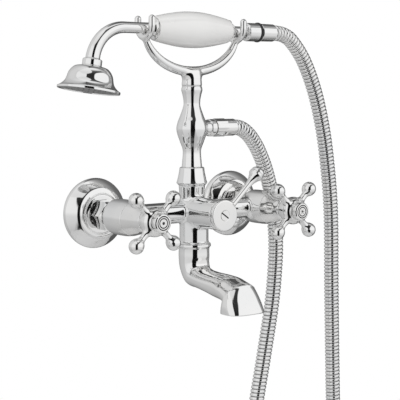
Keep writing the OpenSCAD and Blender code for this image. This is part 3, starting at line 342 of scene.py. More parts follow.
PATTERN_RANGE = (0.3, 0.7)
SMEAR_SCALE = 2.3
COAT_ROUGHNESS = 0.04


def noise(tree, scale, detail):
    coord = tree.nodes.new("ShaderNodeTexCoord")
    texture = tree.nodes.new("ShaderNodeTexNoise")
    texture.inputs["Scale"].default_value = scale
    texture.inputs["Detail"].default_value = detail
    tree.links.new(coord.outputs["Object"], texture.inputs["Vector"])
    return texture.outputs["Fac"]


def between(tree, source, low, high, first, last):
    """Maps a pattern's middle range to two values."""
    node = tree.nodes.new("ShaderNodeMapRange")
    node.inputs["From Min"].default_value = low
    node.inputs["From Max"].default_value = high
    node.inputs["To Min"].default_value = first
    node.inputs["To Max"].default_value = last
    tree.links.new(source, node.inputs["Value"])
    return node.outputs["Result"]


def tinted(tree, source, colours):
    ramp = tree.nodes.new("ShaderNodeValToRGB")
    for element, place, colour in zip(ramp.color_ramp.elements, PATTERN_RANGE, colours):
        element.position = place
        element.color = (*colour, 1)
    tree.links.new(source, ramp.inputs["Fac"])
    return ramp.outputs["Color"]


def finish(name, colours, patch, rough, metal, bumps, coat=0.0):
    """Material with mottled colour and uneven roughness; a bump has a scale, detail, strength and height."""
    material = bpy.data.materials.new(name)
    material.use_nodes = True
    tree = material.node_tree
    shader = tree.nodes["Principled BSDF"]
    shader.inputs["Metallic"].default_value = metal
    shader.inputs["Coat Weight"].default_value = coat
    shader.inputs["Coat Roughness"].default_value = COAT_ROUGHNESS
    mottling = noise(tree, patch, 4)
    tree.links.new(tinted(tree, mottling, colours), shader.inputs["Base Color"])
    smears = noise(tree, patch * SMEAR_SCALE, 6)
    tree.links.new(between(tree, smears, *PATTERN_RANGE, *rough), shader.inputs["Roughness"])
    normal = None
    for scale, detail, strength, height in bumps:
        bump = tree.nodes.new("ShaderNodeBump")
        bump.inputs["Strength"].default_value = strength
        bump.inputs["Distance"].default_value = height
        tree.links.new(noise(tree, scale, detail), bump.inputs["Height"])
        if normal:
            tree.links.new(normal, bump.inputs["Normal"])
        normal = bump.outputs["Normal"]
    tree.links.new(normal, shader.inputs["Normal"])
    return material


FINISHES = {
    "chrome": finish(
        "polished_chrome", colours=((0.84, 0.845, 0.85), (0.9, 0.895, 0.885)), patch=35, rough=(0.03, 0.07),
        metal=1.0, bumps=[(90, 2, 0.05, 0.0004), (1400, 2, 0.02, 0.0001)]),
    "brass": finish(
        "turned_brass", colours=((0.66, 0.47, 0.2), (0.8, 0.62, 0.33)), patch=60, rough=(0.22, 0.4),
        metal=1.0, bumps=[(900, 3, 0.15, 0.0001)]),
    "rubber": finish(
        "black_rubber", colours=((0.016, 0.016, 0.017), (0.035, 0.034, 0.034)), patch=180, rough=(0.5, 0.75),
        metal=0.0, bumps=[(1500, 3, 0.25, 0.0002)]),
    "porcelain": finish(
        "glazed_porcelain", colours=((0.86, 0.855, 0.845), (0.91, 0.905, 0.895)), patch=28, rough=(0.16, 0.28),
        metal=0.0, bumps=[(70, 2, 0.06, 0.0005), (700, 3, 0.03, 0.0001)], coat=0.6),
    "alumina": finish(
        "valve_ceramic", colours=((0.78, 0.74, 0.64), (0.88, 0.86, 0.78)), patch=220, rough=(0.3, 0.45),
        metal=0.0, bumps=[(2500, 2, 0.08, 0.0001)]),
    "moulded": finish(
        "moulded_plastic", colours=((0.68, 0.7, 0.66), (0.78, 0.79, 0.75)), patch=140, rough=(0.45, 0.6),
        metal=0.0, bumps=[(1800, 3, 0.12, 0.0001)]),
}
# Painted shade: dark metal colour put on the bottoms of the hose's grooves to stand for the shade in them
HOSE_GROOVE_SHADE = finish(
    "hose_groove_painted_shade", colours=((0.09, 0.09, 0.092), (0.17, 0.17, 0.168)), patch=120, rough=(0.3, 0.45),
    metal=1.0, bumps=[(1200, 2, 0.08, 0.0001)])
# Painted shade: near-black colour for the shade deep in the buttons' grooves and the screw's slot
PAINTED_GROOVE_SHADE = finish(
    "painted_groove_shade", colours=((0.03, 0.03, 0.031), (0.07, 0.07, 0.069)), patch=260, rough=(0.35, 0.5),
    metal=0.6, bumps=[(1500, 2, 0.08, 0.0001)])
ENAMEL = finish(
    "mark_enamel", colours=((0.015, 0.015, 0.016), (0.04, 0.04, 0.042)), patch=300, rough=(0.2, 0.35),
    metal=0.0, bumps=[(1200, 2, 0.1, 0.0001)])


# Placing pieces


def node_body(node):
    return body_of(frame["nodes"][node])[0]


def shaded(obj):
    for polygon in obj.data.polygons:
        polygon.use_smooth = True
    return obj


def new_object(name, verts, faces, place, second=()):
    """Mesh object from millimetres; the faces numbered in second take the second material."""
    mesh = bpy.data.meshes.new(name)
    mesh.from_pydata([tuple(v) for v in verts], [], faces)
    for i in second:
        mesh.polygons[i].material_index = 1
    bm = bmesh.new()
    bm.from_mesh(mesh)
    bmesh.ops.transform(bm, matrix=Matrix.Scale(MM, 4) @ place, verts=bm.verts)
    bmesh.ops.remove_doubles(bm, verts=bm.verts, dist=1e-7)
    bmesh.ops.recalc_face_normals(bm, faces=bm.faces)
    bm.to_mesh(mesh)
    bm.free()
    obj = bpy.data.objects.new(name, mesh)
    scene.collection.objects.link(obj)
    return shaded(obj)


def dress(obj, node, slot):
    """Puts an object in a node's place, in the finish of the record's slot."""
    obj.data.materials.clear()
    obj.data.materials.append(FINISHES[slot])
    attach(obj, node_body(node))
    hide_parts(node)
    return obj


def crisp(obj):
    """Keeps flat faces flat beside their rounded edges."""
    keep = obj.modifiers.new("flat_faces", "WEIGHTED_NORMAL")
    keep.weight = 80
    return obj


def turning(node, profile, place, slot, edge=0.35, sides=96):
    """Turned piece in a node's place, with its edges rounded."""
    verts, faces = turned(softened(profile, edge), sides)
    obj = new_object(node + "_turned", verts, faces, place)
    return dress(crisp(obj), node, slot)


# Camera

camera_data = bpy.data.cameras.new("camera")
camera = bpy.data.objects.new("camera", camera_data)
scene.collection.objects.link(camera)
camera.location = (-0.6183, -0.8605, 0.1054)
camera.rotation_euler = (math.radians(84.67), 0, math.radians(-37.6))
camera_data.lens = 105.27
camera_data.sensor_width = 36
camera_data.clip_start = 0.01
scene.camera = camera

# Hose: a spiral-wound ribbed tube with plain ends inside its nuts

HOSE_SIDES = 24
RIB_PITCH = 3.5
# Steps of one rib: share of the pitch, depth below the crest
RIB_STEPS = ((0.0, 1.0), (0.1, 0.92), (0.18, 0.24), (0.26, 0.06), (0.38, 0.0), (0.62, 0.0), (0.74, 0.06),
             (0.82, 0.24), (0.9, 0.92))
PER_RIB = len(RIB_STEPS)
PLAIN_START = 13.5
PLAIN_END = 11.0


def travelled_frames(points):
    """Headings and side vectors that don't twist along a line of points."""
    ways = np.gradient(points, axis=0)
    ways = ways / np.linalg.norm(ways, axis=1)[:, None]
    side = np.array([0.0, 1.0, 0.0])
    sides = []
    for way in ways:
        side = side - (side @ way) * way
        side = side / np.linalg.norm(side)
        sides.append(side)
    return ways, np.array(sides)


def along(s, run, values):
    """Values given at a line's points, found at the lengths s."""
    return np.stack([np.interp(s, run, values[:, i]) for i in range(3)], axis=1)


def hose_turns():
    """Outer and inner turns of the winding; each ends one rib further on than it starts."""
    line = curve_through(np.array(HOSE_ROUTE) / MM, 24)
    run = np.concatenate([[0], np.cumsum(np.linalg.norm(np.diff(line, axis=0), axis=1))])
    total = run[-1]
    ways, sides = travelled_frames(line)
    ribs = int(total // RIB_PITCH) + 2
    q = 2 * math.pi * np.arange(HOSE_SIDES) / HOSE_SIDES
    outer = []
    inner = []
    for k in range(ribs * PER_RIB + 1):
        part, depth = RIB_STEPS[k % PER_RIB]
        start = (k // PER_RIB - 1 + part) * RIB_PITCH
        s = np.clip(start + RIB_PITCH * np.arange(HOSE_SIDES) / HOSE_SIDES, 0, total)
        centre = along(s, run, line)
        way = along(s, run, ways)
        v = along(s, run, sides)
        u = np.cross(v, way)
        plain = (s < PLAIN_START) | (s > total - PLAIN_END)
        radius = np.where(plain, HOSE_END_R, HOSE_R - depth)
        spoke = np.cos(q)[:, None] * u + np.sin(q)[:, None] * v
        outer.append(centre + radius[:, None] * spoke)
        inner.append(centre + HOSE_BORE_R * spoke)
    return outer, inner


def hose_faces(count):
    """Faces over the outer and inner turns and at the two ends, and the numbers of those at the bottoms of the
    grooves, which take painted shade.
    """
    shift = count * HOSE_SIDES
    last = HOSE_SIDES - 1
    faces = []
    groove_shade_faces = []
    for k in range(count - 1):
        for i in range(HOSE_SIDES):
            hop = 0 if i < last else PER_RIB
            j = (i + 1) % HOSE_SIDES
            if k + hop + 1 >= count:
                continue
            corners = [(k, i), (k + hop, j), (k + hop + 1, j), (k + 1, i)]
            face = [a * HOSE_SIDES + b for a, b in corners]
            # The two steps at the bottom of each groove take the painted shade
            if k % PER_RIB in (0, PER_RIB - 1):
                groove_shade_faces.append(len(faces))
            faces.append(tuple(face))
            faces.append(tuple(shift + n for n in reversed(face)))
    for k in (0, count - 1 - PER_RIB):
        for i in range(HOSE_SIDES):
            a = k * HOSE_SIDES + i
            b = k * HOSE_SIDES + i + 1 if i < last else (k + PER_RIB) * HOSE_SIDES
            faces.append((a, b, shift + b, shift + a))
    return faces, groove_shade_faces


def hose_object():
    outer, inner = hose_turns()
    verts = [tuple(p) for turn in outer + inner for p in turn]
    faces, groove_shade_faces = hose_faces(len(outer))
    return new_object("hose_ribbed", verts, faces, Matrix.Identity(4), groove_shade_faces)


hose = hose_object()
hose.data.materials.append(FINISHES["chrome"])
# Second material: painted shade in the hose's grooves
hose.data.materials.append(HOSE_GROOVE_SHADE)
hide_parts("hose")
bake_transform(hose, "fixed_body", "handset", start=HOSE_STILL, end=HOSE_LIFTED)

# Castings: a node's mesh, remeshed finely and drawn onto a smooth solid with fillets

FAR = 1e12
SLOPE_STEP = 0.02
LEAST_SLOPE = 0.25
LONGEST_MOVE = 1.2


def turned_distance(p, place, profile):
    """Distance from points to a turned solid, negative inside."""
    back = np.array(place.inverted())
    q = p @ back[:3, :3].T + back[:3, 3]
    rho = np.hypot(q[:, 0], q[:, 1])
    z = q[:, 2]
    best = np.full(len(p), FAR)
    inside = np.zeros(len(p), bool)
    for (r0, z0), (r1, z1) in zip(profile, profile[1:] + profile[:1]):
        if r0 < TINY and r1 < TINY:
            continue
        er = r1 - r0
        ez = z1 - z0
        t = np.clip(((rho - r0) * er + (z - z0) * ez) / (er * er + ez * ez), 0, 1)
        best = np.minimum(best, (rho - r0 - er * t) ** 2 + (z - z0 - ez * t) ** 2)
        if abs(ez) > TINY:
            inside ^= ((z0 > z) != (z1 > z)) & (rho < r0 + (z - z0) / ez * er)
    far = np.sqrt(best)
    return np.where(inside, -far, far)


def rod_distance(p, place, r, z0, z1):
    """Distance from points to a plain round bar."""
    return turned_distance(p, place, [(0, z0), (r, z0), (r, z1), (0, z1)])


def tube_distance(p, points, radii):
    """Distance from points to a round bar along a line, with round ends."""
    best = np.full(len(p), FAR)
    for a, b, ra, rb in zip(points[:-1], points[1:], radii[:-1], radii[1:]):
        e = b - a
        t = np.clip((p - a) @ e / (e @ e), 0, 1)
        gap = np.linalg.norm(p - a - t[:, None] * e, axis=1)
        best = np.minimum(best, gap - ra - (rb - ra) * t)
    return best


def joined(a, b, fillet):
    """Two solids in one, with a fillet where they meet."""
    h = np.maximum(fillet - np.abs(a - b), 0) / fillet
    return np.minimum(a, b) - h * h * fillet / 4


def cut(a, b, edge=0.3):
    """The first solid without the second, with its edge rounded."""
    return -joined(-a, b, edge)


def relaxed(co, edges, passes):
    """Moves each point half way to the middle of its neighbours, a few times."""
    for _ in range(passes):
        total = np.zeros_like(co)
        count = np.zeros(len(co))
        for a, b in ((0, 1), (1, 0)):
            np.add.at(total, edges[:, a], co[edges[:, b]])
            np.add.at(count, edges[:, a], 1)
        co = 0.5 * co + 0.5 * total / count[:, None]
    return co


def drawn_onto(co, distance, rounds):
    """Moves points down the slope of a distance until they lie on its solid."""
    step = SLOPE_STEP
    for _ in range(rounds):
        d = distance(co)
        slope = np.stack([distance(co + step * np.eye(3)[i]) - d for i in range(3)], axis=1) / step
        size = np.maximum((slope * slope).sum(axis=1), LEAST_SLOPE)
        co = co - slope * np.clip(d / size, -LONGEST_MOVE, LONGEST_MOVE)[:, None]
    return co


def casting(node, distance, voxel):
    """Chrome casting in a node's place, drawn onto the solid that distance describes."""
    rough = bpy.data.objects.new(node + "_rough", frame["nodes"][node].data.copy())
    scene.collection.objects.link(rough)
    remesh = rough.modifiers.new("remesh", "REMESH")
    remesh.mode = "VOXEL"
    remesh.voxel_size = voxel * MM
    graph = bpy.context.evaluated_depsgraph_get()
    mesh = bpy.data.meshes.new_from_object(rough.evaluated_get(graph))
    bpy.data.objects.remove(rough)
    co = np.zeros(len(mesh.vertices) * 3)
    mesh.vertices.foreach_get("co", co)
    co = co.reshape(-1, 3) / MM
    ends = np.zeros(len(mesh.edges) * 2, int)
    mesh.edges.foreach_get("vertices", ends)
    ends = ends.reshape(-1, 2)
    co = drawn_onto(co, distance, rounds=2)
    co = relaxed(co, ends, passes=3)
    co = drawn_onto(co, distance, rounds=3)
    mesh.vertices.foreach_set("co", (co * MM).ravel())
    mesh.update()
    obj = bpy.data.objects.new(node + "_cast", mesh)
    scene.collection.objects.link(obj)
    return dress(shaded(obj), node, "chrome")


def smooth(points, steps):
    """Outline as a smooth curve through its points."""
    return [(float(a), float(b)) for a, b in curve_through(points, steps)]


# Bores of the body: a radius, and where it begins and ends along its axis
INLET_BORE = (7.93, 30, 41.5)
SEAT_BORE = (6, 38, 45)
HEADWORK_BORE = (10.05, 43, 70)
CROSS_BORE = (5.5, -65.6, 65.6)
SLEEVE_BORE = (8.55, 38, 90)
RISER_BORE = (5.5, 0, 35)
DROP_BORE = (5.5, -28, 0)
NIPPLE_BORE = (8.05, -30, -19)
WASHER_BORE = (10.65, -30, -27)
BODY_FILLET = 3.0


def barrel_outline():
    r = BARREL_R
    h0 = BARREL_H0
    h1 = BARREL_H1
    side = smooth([(r - 2.6, h0), (r - 1.4, h0 + 0.9), (r - 0.5, h0 + 2.8), (r, h0 + 5.6), (r, h1 - 10),
                   (r - 0.4, h1 - 5), (BARREL_FRONT_R, h1)], 12)
    return [(0, h0)] + side + [(0, h1)]


def hub_outlines():
    """The hub above the crossbar with its thread, and below it with its joint ring."""
    r = HUB_R
    z1 = HUB_RISE
    thread_z1 = z1 + RISER_THREAD_L
    side = smooth([(r, 0), (r - 0.4, z1 - 10), (r - 0.3, z1 - 4), (r, z1)], 4)
    upper = [(0, 0)] + side + [(RISER_THREAD_R, z1), (RISER_THREAD_R, thread_z1), (0, thread_z1)]
    d = DROP_R
    z0 = -HUB_DROP
    lower = [(0, z0), (d + 1.6, z0), (d + 1.8, z0 + 0.6), (d + 0.5, z0 + 1.2), (d, z0 + 2.4), (d, 0), (0, 0)]
    return upper, lower


def diverter_outline():
    r = DIVERTER_R
    h0 = DIVERTER_H0
    h1 = DIVERTER_H1
    return [(0, h0), (r - 3, h0), (r - 0.9, h0 + 0.9), (r, h0 + 3), (r, h1 - 0.6), (r - 0.6, h1), (0, h1)]


def body_distance(p):
    barrel = barrel_outline()
    upper, lower = hub_outlines()
    whole = rod_distance(p, ON_CROSSBAR, CROSSBAR_R, -CROSSBAR_HALF, CROSSBAR_HALF)
    for x in (-VALVE_X, VALVE_X):
        whole = joined(whole, turned_distance(p, out_from_wall(x), barrel), BODY_FILLET)
    hub = np.minimum(turned_distance(p, ON_RISER, upper), turned_distance(p, ON_SPOUT, lower))
    whole = joined(whole, hub, BODY_FILLET)
    whole = joined(whole, turned_distance(p, out_from_wall(0), diverter_outline()), BODY_FILLET)
    for x in (-VALVE_X, VALVE_X):
        for bore in (INLET_BORE, SEAT_BORE, HEADWORK_BORE):
            whole = cut(whole, rod_distance(p, out_from_wall(x), *bore))
    for place, bore in (
            (ON_CROSSBAR, CROSS_BORE), (out_from_wall(0), SLEEVE_BORE), (ON_RISER, RISER_BORE),
            (ON_SPOUT, DROP_BORE), (ON_SPOUT, NIPPLE_BORE), (ON_SPOUT, WASHER_BORE)):
        whole = cut(whole, rod_distance(p, place, *bore))
    return whole


def handle_distance(x):
    """Distance to the cross handle on the valve at x."""
    place = out_from_wall(x)
    b = BUTTON_R
    h0 = HANDLE_H0
    h1 = HANDLE_H1
    side = smooth([(b + 1.4, h0), (b + 2.2, h0 + 1.8), (b + 3.6, h0 + 5.2), (b + 4.2, h0 + 9.4),
                   (b + 3.2, h1 - 2.8), (b + 1.2, h1 - 1), (b + 0.4, h1)], 12)
    hub = [(0, h0)] + side + [(0, h1)]
    side = smooth([(4.5, 5), (3.7, 10), (2.95, 14.5), (2.85, 18), (3.6, 20.6), (4.6, 22.4)], 4)
    arm = [(0, 5)] + side + [(0, 22.4)]
    turns = [Matrix.Rotation(math.radians(a), 4, "Z") for a in (45, 135, 225, 315)]
    arms = [place @ t @ Matrix.Translation((0, 0, HANDLE_ARM_H)) @ SIDEWAYS for t in turns]

    def distance(p):
        whole = turned_distance(p, place, hub)
        for way in arms:
            centre = np.array((way @ Vector((0, 0, HANDLE_REACH)))[:3])
            ball = np.linalg.norm(p - centre, axis=1) - HANDLE_BALL_R
            whole = joined(whole, joined(turned_distance(p, way, arm), ball, 1.6), 2.4)
        whole = cut(whole, rod_distance(p, place, SPINDLE_R, h0 - 1, HANDLE_WEB_H0))
        whole = cut(whole, rod_distance(p, place, SCREW_R, h0, h1 + 0.6))
        return cut(whole, rod_distance(p, place, HANDLE_SCREW_HEAD_R, HANDLE_WEB_H1, h1 + 0.6))

    return distance


def lever_arm_outline():
    """The lever's stem from the disc's middle, its flare and its domed knob; zero is the knob's rim."""
    k = LEVER_KNOB_R
    n = LEVER_NECK_R
    z0 = -36.4
    z1 = 6.9
    stem = smooth([(n, z0), (n, -25), (n, -15), (n + 0.5, -9), (k * 0.76, -4), (k, -1.4)], 5)
    rim = [(k, 0.2), (k - 0.6, 0.7), (k - 0.5, 1.2)]
    dome = smooth([(k - 0.2, 1.4), (k * 0.9, 3.6), (k * 0.6, 5.8), (0.6, z1)], 5)
    return [(0, z0)] + stem + rim + dome + [(0, z1)]


def lever_distance(p):
    r = LEVER_R
    b = LEVER_BOSS_R
    h0 = LEVER_H0
    h1 = LEVER_H1
    boss_h = h0 - LEVER_BOSS_L
    place = out_from_wall(0)
    disc = [(0, boss_h), (b, boss_h), (b, h0), (r - 1.8, h0), (r - 1.8, h0 + 1.2), (r - 0.4, h0 + 1.5),
            (r, h0 + 2), (r, h1 - 0.9), (r - 0.4, h1 - 0.3), (r - 1.1, h1), (0, h1)]
    turn = Matrix.Rotation(LEVER_TURN, 4, "Z")
    way = place @ turn @ Matrix.Translation((LEVER_REACH, 0, h0 + LEVER_NECK_R)) @ SIDEWAYS
    whole = joined(turned_distance(p, place, disc), turned_distance(p, way, lever_arm_outline()), 0.8)
    whole = cut(whole, rod_distance(p, place, SPINDLE_R, boss_h - 1, h1 - 3.6))
    whole = cut(whole, rod_distance(p, place, SCREW_R, boss_h, h1 + 1))
    return cut(whole, rod_distance(p, place, LEVER_SCREW_HEAD_R, h1 - 2.2, h1 + 1), 0.2)


def fork_distance(p):
    """The cradle's bowed bar, slimmer towards its ends and a little deeper than high."""
    depth = 1.1
    taper = 0.36
    top = YOKE_Z - PRONG_R
    high = top - (COLUMN_Z1 + FORK_RISE + FORK_R)
    k = np.linspace(-1, 1, 65)
    a = np.radians(270 + k * FORK_SPAN)
    x = (YOKE_X + 0.6) * np.cos(a)
    bow = np.stack([x, np.full(len(k), -AXIS_H), top + high * np.sin(a)], axis=1)
    squeezed = p.copy()
    squeezed[:, 1] = -AXIS_H + (p[:, 1] + AXIS_H) / depth
    return tube_distance(squeezed, bow, FORK_R * (1 - taper * np.abs(k) ** 3))


def yoke_distance(p, x):
    """One U of the cradle, which the handset's neck lies in."""
    q = np.radians(np.linspace(180, 360, 37))
    y = -AXIS_H + YOKE_R * np.cos(q)
    bow = np.stack([np.full(len(q), x), y, YOKE_Z + YOKE_R * np.sin(q)], axis=1)
    tips = [np.array([[x, -AXIS_H + s * YOKE_R, YOKE_Z + PRONG_L]]) for s in (-1, 1)]
    bar = np.concatenate([tips[0], bow, tips[1]])
    return tube_distance(p, bar, np.full(len(bar), PRONG_R))


def cradle_distance(p):
    f = FORK_FOOT_R
    z = COLUMN_Z1
    side = smooth([(f, z), (f + 0.4, z + 1.2), (f + 0.1, z + 5), (f - 0.2, z + 9), (f - 2.6, z + 13.4)], 5)
    foot = [(0, z)] + side + [(0, z + 13.6)]
    whole = joined(fork_distance(p), turned_distance(p, ON_RISER, foot), 5.0)
    for x in (-YOKE_X, YOKE_X):
        whole = joined(whole, yoke_distance(p, x), 2.0)
    return cut(whole, rod_distance(p, ON_RISER, STUD_HOLE_R, z - 1, z + 11))


def column_distance(p):
    f = COLUMN_END_R
    b = COLUMN_BELLY_R
    z = OUTLET_Z
    top = COLUMN_Z1
    side = smooth([(f, COLLAR_Z1), (f - 0.5, COLLAR_Z1 + 5), (f - 1, z - 19.5), (f + 1.4, z - 12),
                   (b - 0.9, z - 5.6), (b, z - 0.5), (b - 1, z + 5), (f + 1.2, z + 11), (f - 1.5, z + 19),
                   (f - 1.7, z + 23.5), (f - 0.9, top - 8), (f + 0.2, top - 3.6), (f - 0.2, top - 1),
                   (f - 0.6, top)], 16)
    s = COLUMN_SPIGOT_R
    shaft = [(0, COLUMN_SPIGOT_Z), (s, COLUMN_SPIGOT_Z), (s, COLLAR_Z1)] + side + [(0, top)]
    r = OUTLET_R
    lip = OUTLET_LIP_R
    end = OUTLET_L
    boss = [(0, 4), (r, 4), (r, end - 6), (lip, end - 5.4), (lip, end - 0.6), (lip - 0.6, end), (0, end)]
    whole = joined(turned_distance(p, ON_RISER, shaft), turned_distance(p, ON_OUTLET, boss), 2.0)
    whole = cut(whole, rod_distance(p, ON_RISER, COLUMN_BORE_R, 30, z + 5))
    whole = cut(whole, rod_distance(p, ON_RISER, STUD_HOLE_R, top - 11, top + 1))
    whole = cut(whole, rod_distance(p, ON_OUTLET, 4, 0, end))
    return cut(whole, rod_distance(p, ON_OUTLET, 6.05, end - 9.5, end + 1))


casting("mixer_body", body_distance, voxel=0.65)
casting("left_cross_handle", handle_distance(-VALVE_X), voxel=0.45)
casting("right_cross_handle", handle_distance(VALVE_X), voxel=0.45)
casting("diverter_lever", lever_distance, voxel=0.4)
casting("cradle", cradle_distance, voxel=0.55)

# Turnings


def flange(node, x):
    r = FLANGE_R
    c = FLANGE_COLLAR_R
    h = FLANGE_H
    e = r - c
    dome = smooth([(r - 2.3, 0), (r - 0.7, 2.4), (r, 5.4), (r - 0.4, 7.4), (r - 1.5, 9), (c + e * 0.7, h - 5.3),
                   (c + e * 0.51, h - 3), (c + e * 0.41, h - 1.95), (c + e * 0.31, h - 1.3),
                   (c + e * 0.2, h - 0.8), (c + 1.2, h - 0.6)], 6)
    groove = [(c + 0.8, h - 1.2), (c + 0.2, h - 1.2)]
    collar = [(c, h - 0.6), (c - 0.4, h - 0.2), (c - 1.4, h)]
    hole = [(FLANGE_HOLE_R, h), (FLANGE_HOLE_R, h - 1.6), (c - 0.6, h - 1.6)]
    inside = smooth([(c + 1.4, h - 2.5), (c + e * 0.31 - 0.5, h - 3), (c + e * 0.51 - 0.7, h - 4.6),
                     (c + e * 0.7 - 1, h - 6.8), (r - 3, 8.2), (r - 1.6, 5.4), (r - 2.3, 2.4), (r - 3.9, 0)], 4)
    profile = dome + groove + collar + hole + inside
    turning(node, profile, out_from_wall(x), "chrome", edge=0.2, sides=128)


def bonnet(node, x):
    f = BONNET_FRONT_R
    e = BARREL_FRONT_R - f
    w = BONNET_WALL
    h = BARREL_H1
    top = BONNET_H1
    outside = smooth([(f + e, h), (f + e * 0.67, h + 6), (f + e * 0.27, h + 13), (f + 0.4, top - 2),
                      (f, top - 0.4)], 6)
    mouth = [(f - 0.4, top), (BONNET_HOLE_R, top), (BONNET_HOLE_R, top - 3.5), (f - 1.4, top - 3.5)]
    inside = smooth([(f - 0.7, top - 4.9), (f + e * 0.27 - w, h + 12.2), (f + e * 0.67 - w, h + 5.4),
                     (f + e - w, h)], 4)
    turning(node, outside + mouth + inside, out_from_wall(x), "chrome", edge=0.3)


def riser_collar():
    r = COLLAR_R
    top_r = COLLAR_TOP_R
    z0 = HUB_RISE
    z1 = COLLAR_Z1
    hole = RISER_THREAD_R + CLEARANCE
    socket = COLUMN_SPIGOT_R + CLEARANCE
    foot = [(hole, z0), (HUB_R, z0), (HUB_R + 0.7, z0 + 0.9), (r - 0.2, z0 + 1.8)]
    side = smooth([(r, z0 + 2.6), (r - 0.9, z0 + 5.4), (top_r + 0.5, z1 - 4.5), (top_r, z1 - 0.6)], 6)
    inside = [(top_r - 0.6, z1), (socket, z1), (socket, COLUMN_SPIGOT_Z), (hole, COLUMN_SPIGOT_Z)]
    turning("riser_collar", foot + side + inside, ON_RISER, "chrome")


def rose_collar():
    r = ROSE_COLLAR_R
    z = ROSE_COLLAR_L
    profile = [(BORE_R, CLEARANCE), (r - 0.8, CLEARANCE), (r, 0.8), (r, z - 0.6), (r - 0.6, z), (BORE_R, z)]
    turning("rose_collar", profile, ON_ROSE, "chrome")


def rose_bell():
    r = ROSE_R
    w = ROSE_WALL
    h = ROSE_H
    z0 = ROSE_COLLAR_L
    z1 = z0 + h
    outside = smooth([(ROSE_COLLAR_R + 0.8, z0), (r * 0.54, z0 + 1.4), (r * 0.69, z0 + h * 0.3),
                      (r * 0.77, z0 + h * 0.64), (r * 0.89, z1 - 3.6), (r, z1 - 1.8)], 8)
    lip = [(r, z1), (r - w, z1), (r - w, z1 - 1.6)]
    inside = smooth([(r - w - 0.6, z1 - 1.6), (r * 0.89 - w, z1 - 2.8), (r * 0.77 - w, z0 + h * 0.64),
                     (r * 0.69 - w, z0 + h * 0.34), (r * 0.54 - w, z0 + 1.8 + w),
                     (BORE_R + 2, z0 + w + 0.6)], 5)
    profile = [(BORE_R, z0)] + outside + lip + inside + [(BORE_R, z0 + w)]
    turning("rose_bell", profile, ON_ROSE, "chrome", edge=0.3, sides=128)


def front_ferrule():
    n = NECK_R
    e = GRIP_END_R
    x0 = FRONT_FERRULE_X
    x1 = GRIP_X0
    profile = [(BORE_R, x0), (n + 0.6, x0), (n + 1.4, x0 + 0.8), (n + 2, x0 + 2), (e - 1.2, x1 - 1),
               (e - 0.8, x1), (BORE_R, x1)]
    turning("front_ferrule", profile, ON_HANDSET, "chrome")


def rear_ferrule():
    n = NECK_R
    e = GRIP_END_R
    x0 = GRIP_X1
    x1 = REAR_FERRULE_X
    side = smooth([(e - 0.6, x0 + 0.8), (n + 2.8, x0 + 2.6), (n + 1.8, x0 + 4), (n + 2.2, x0 + 5),
                   (n + 1.2, x1 - 0.8), (n, x1 - 0.2)], 5)
    profile = [(BORE_R, x0), (e - 0.8, x0)] + side + [(n, x1), (BORE_R, x1)]
    turning("rear_ferrule", profile, ON_HANDSET, "chrome")


def grip():
    e = GRIP_END_R
    swell = GRIP_R - e
    mid = (GRIP_X0 + GRIP_X1) / 2
    half = (GRIP_X1 - GRIP_X0) / 2
    side = smooth([(e - 0.6, GRIP_X0), (e + 0.4, GRIP_X0 + 1.2), (e + swell * 0.58, mid - half * 0.62),
                   (e + swell * 0.92, mid - half * 0.28), (GRIP_R, mid), (e + swell * 0.92, mid + half * 0.28),
                   (e + swell * 0.58, mid + half * 0.62), (e + 0.4, GRIP_X1 - 1.2), (e - 0.6, GRIP_X1)], 8)
    profile = [(BORE_R, GRIP_X0)] + side + [(BORE_R, GRIP_X1)]
    turning("grip", profile, ON_HANDSET, "porcelain", edge=0.5, sides=128)


def handset_tail():
    r = TAIL_R
    s = TAIL_SPIGOT_R
    x0 = TAIL_X0
    x1 = TAIL_X1
    end = TAIL_SPIGOT_X1
    neck = [(BORE_R, REAR_FERRULE_X), (NECK_R, REAR_FERRULE_X), (NECK_R, x0)]
    beads = [(r - 1.4, x0 + 0.6), (r - 1, x0 + 1.4), (r - 1.6, x0 + 2.2), (r - 0.2, x0 + 3), (r, x0 + 4)]
    spigot = [(r, x1 - 0.5), (r - 0.5, x1), (s, x1), (s, end - 0.6), (s - 0.6, end)]
    bore = [(TAIL_BORE_R, end), (TAIL_BORE_R, x0 + 6.2), (BORE_R, x0 + 6.2)]
    turning("handset_tail", neck + beads + spigot + bore, ON_HANDSET, "chrome", edge=0.25)


def tail_ring():
    r = RING_R
    hole = TAIL_SPIGOT_R + CLEARANCE
    x0 = TAIL_X1
    x1 = x0 + RING_L
    profile = [(hole, x0), (r - 0.6, x0), (r, x0 + 0.6), (r, x1 - 0.6), (r - 0.6, x1), (hole, x1)]
    turning("tail_ring", profile, ON_HANDSET, "rubber")


flange("left_wall_flange", -VALVE_X)
flange("right_wall_flange", VALVE_X)
bonnet("left_bonnet", -VALVE_X)
bonnet("right_bonnet", VALVE_X)
riser_collar()
rose_collar()
rose_bell()
front_ferrule()
rear_ferrule()
grip()
handset_tail()
tail_ring()
casting("riser_column", column_distance, voxel=0.55)

# Swept pieces


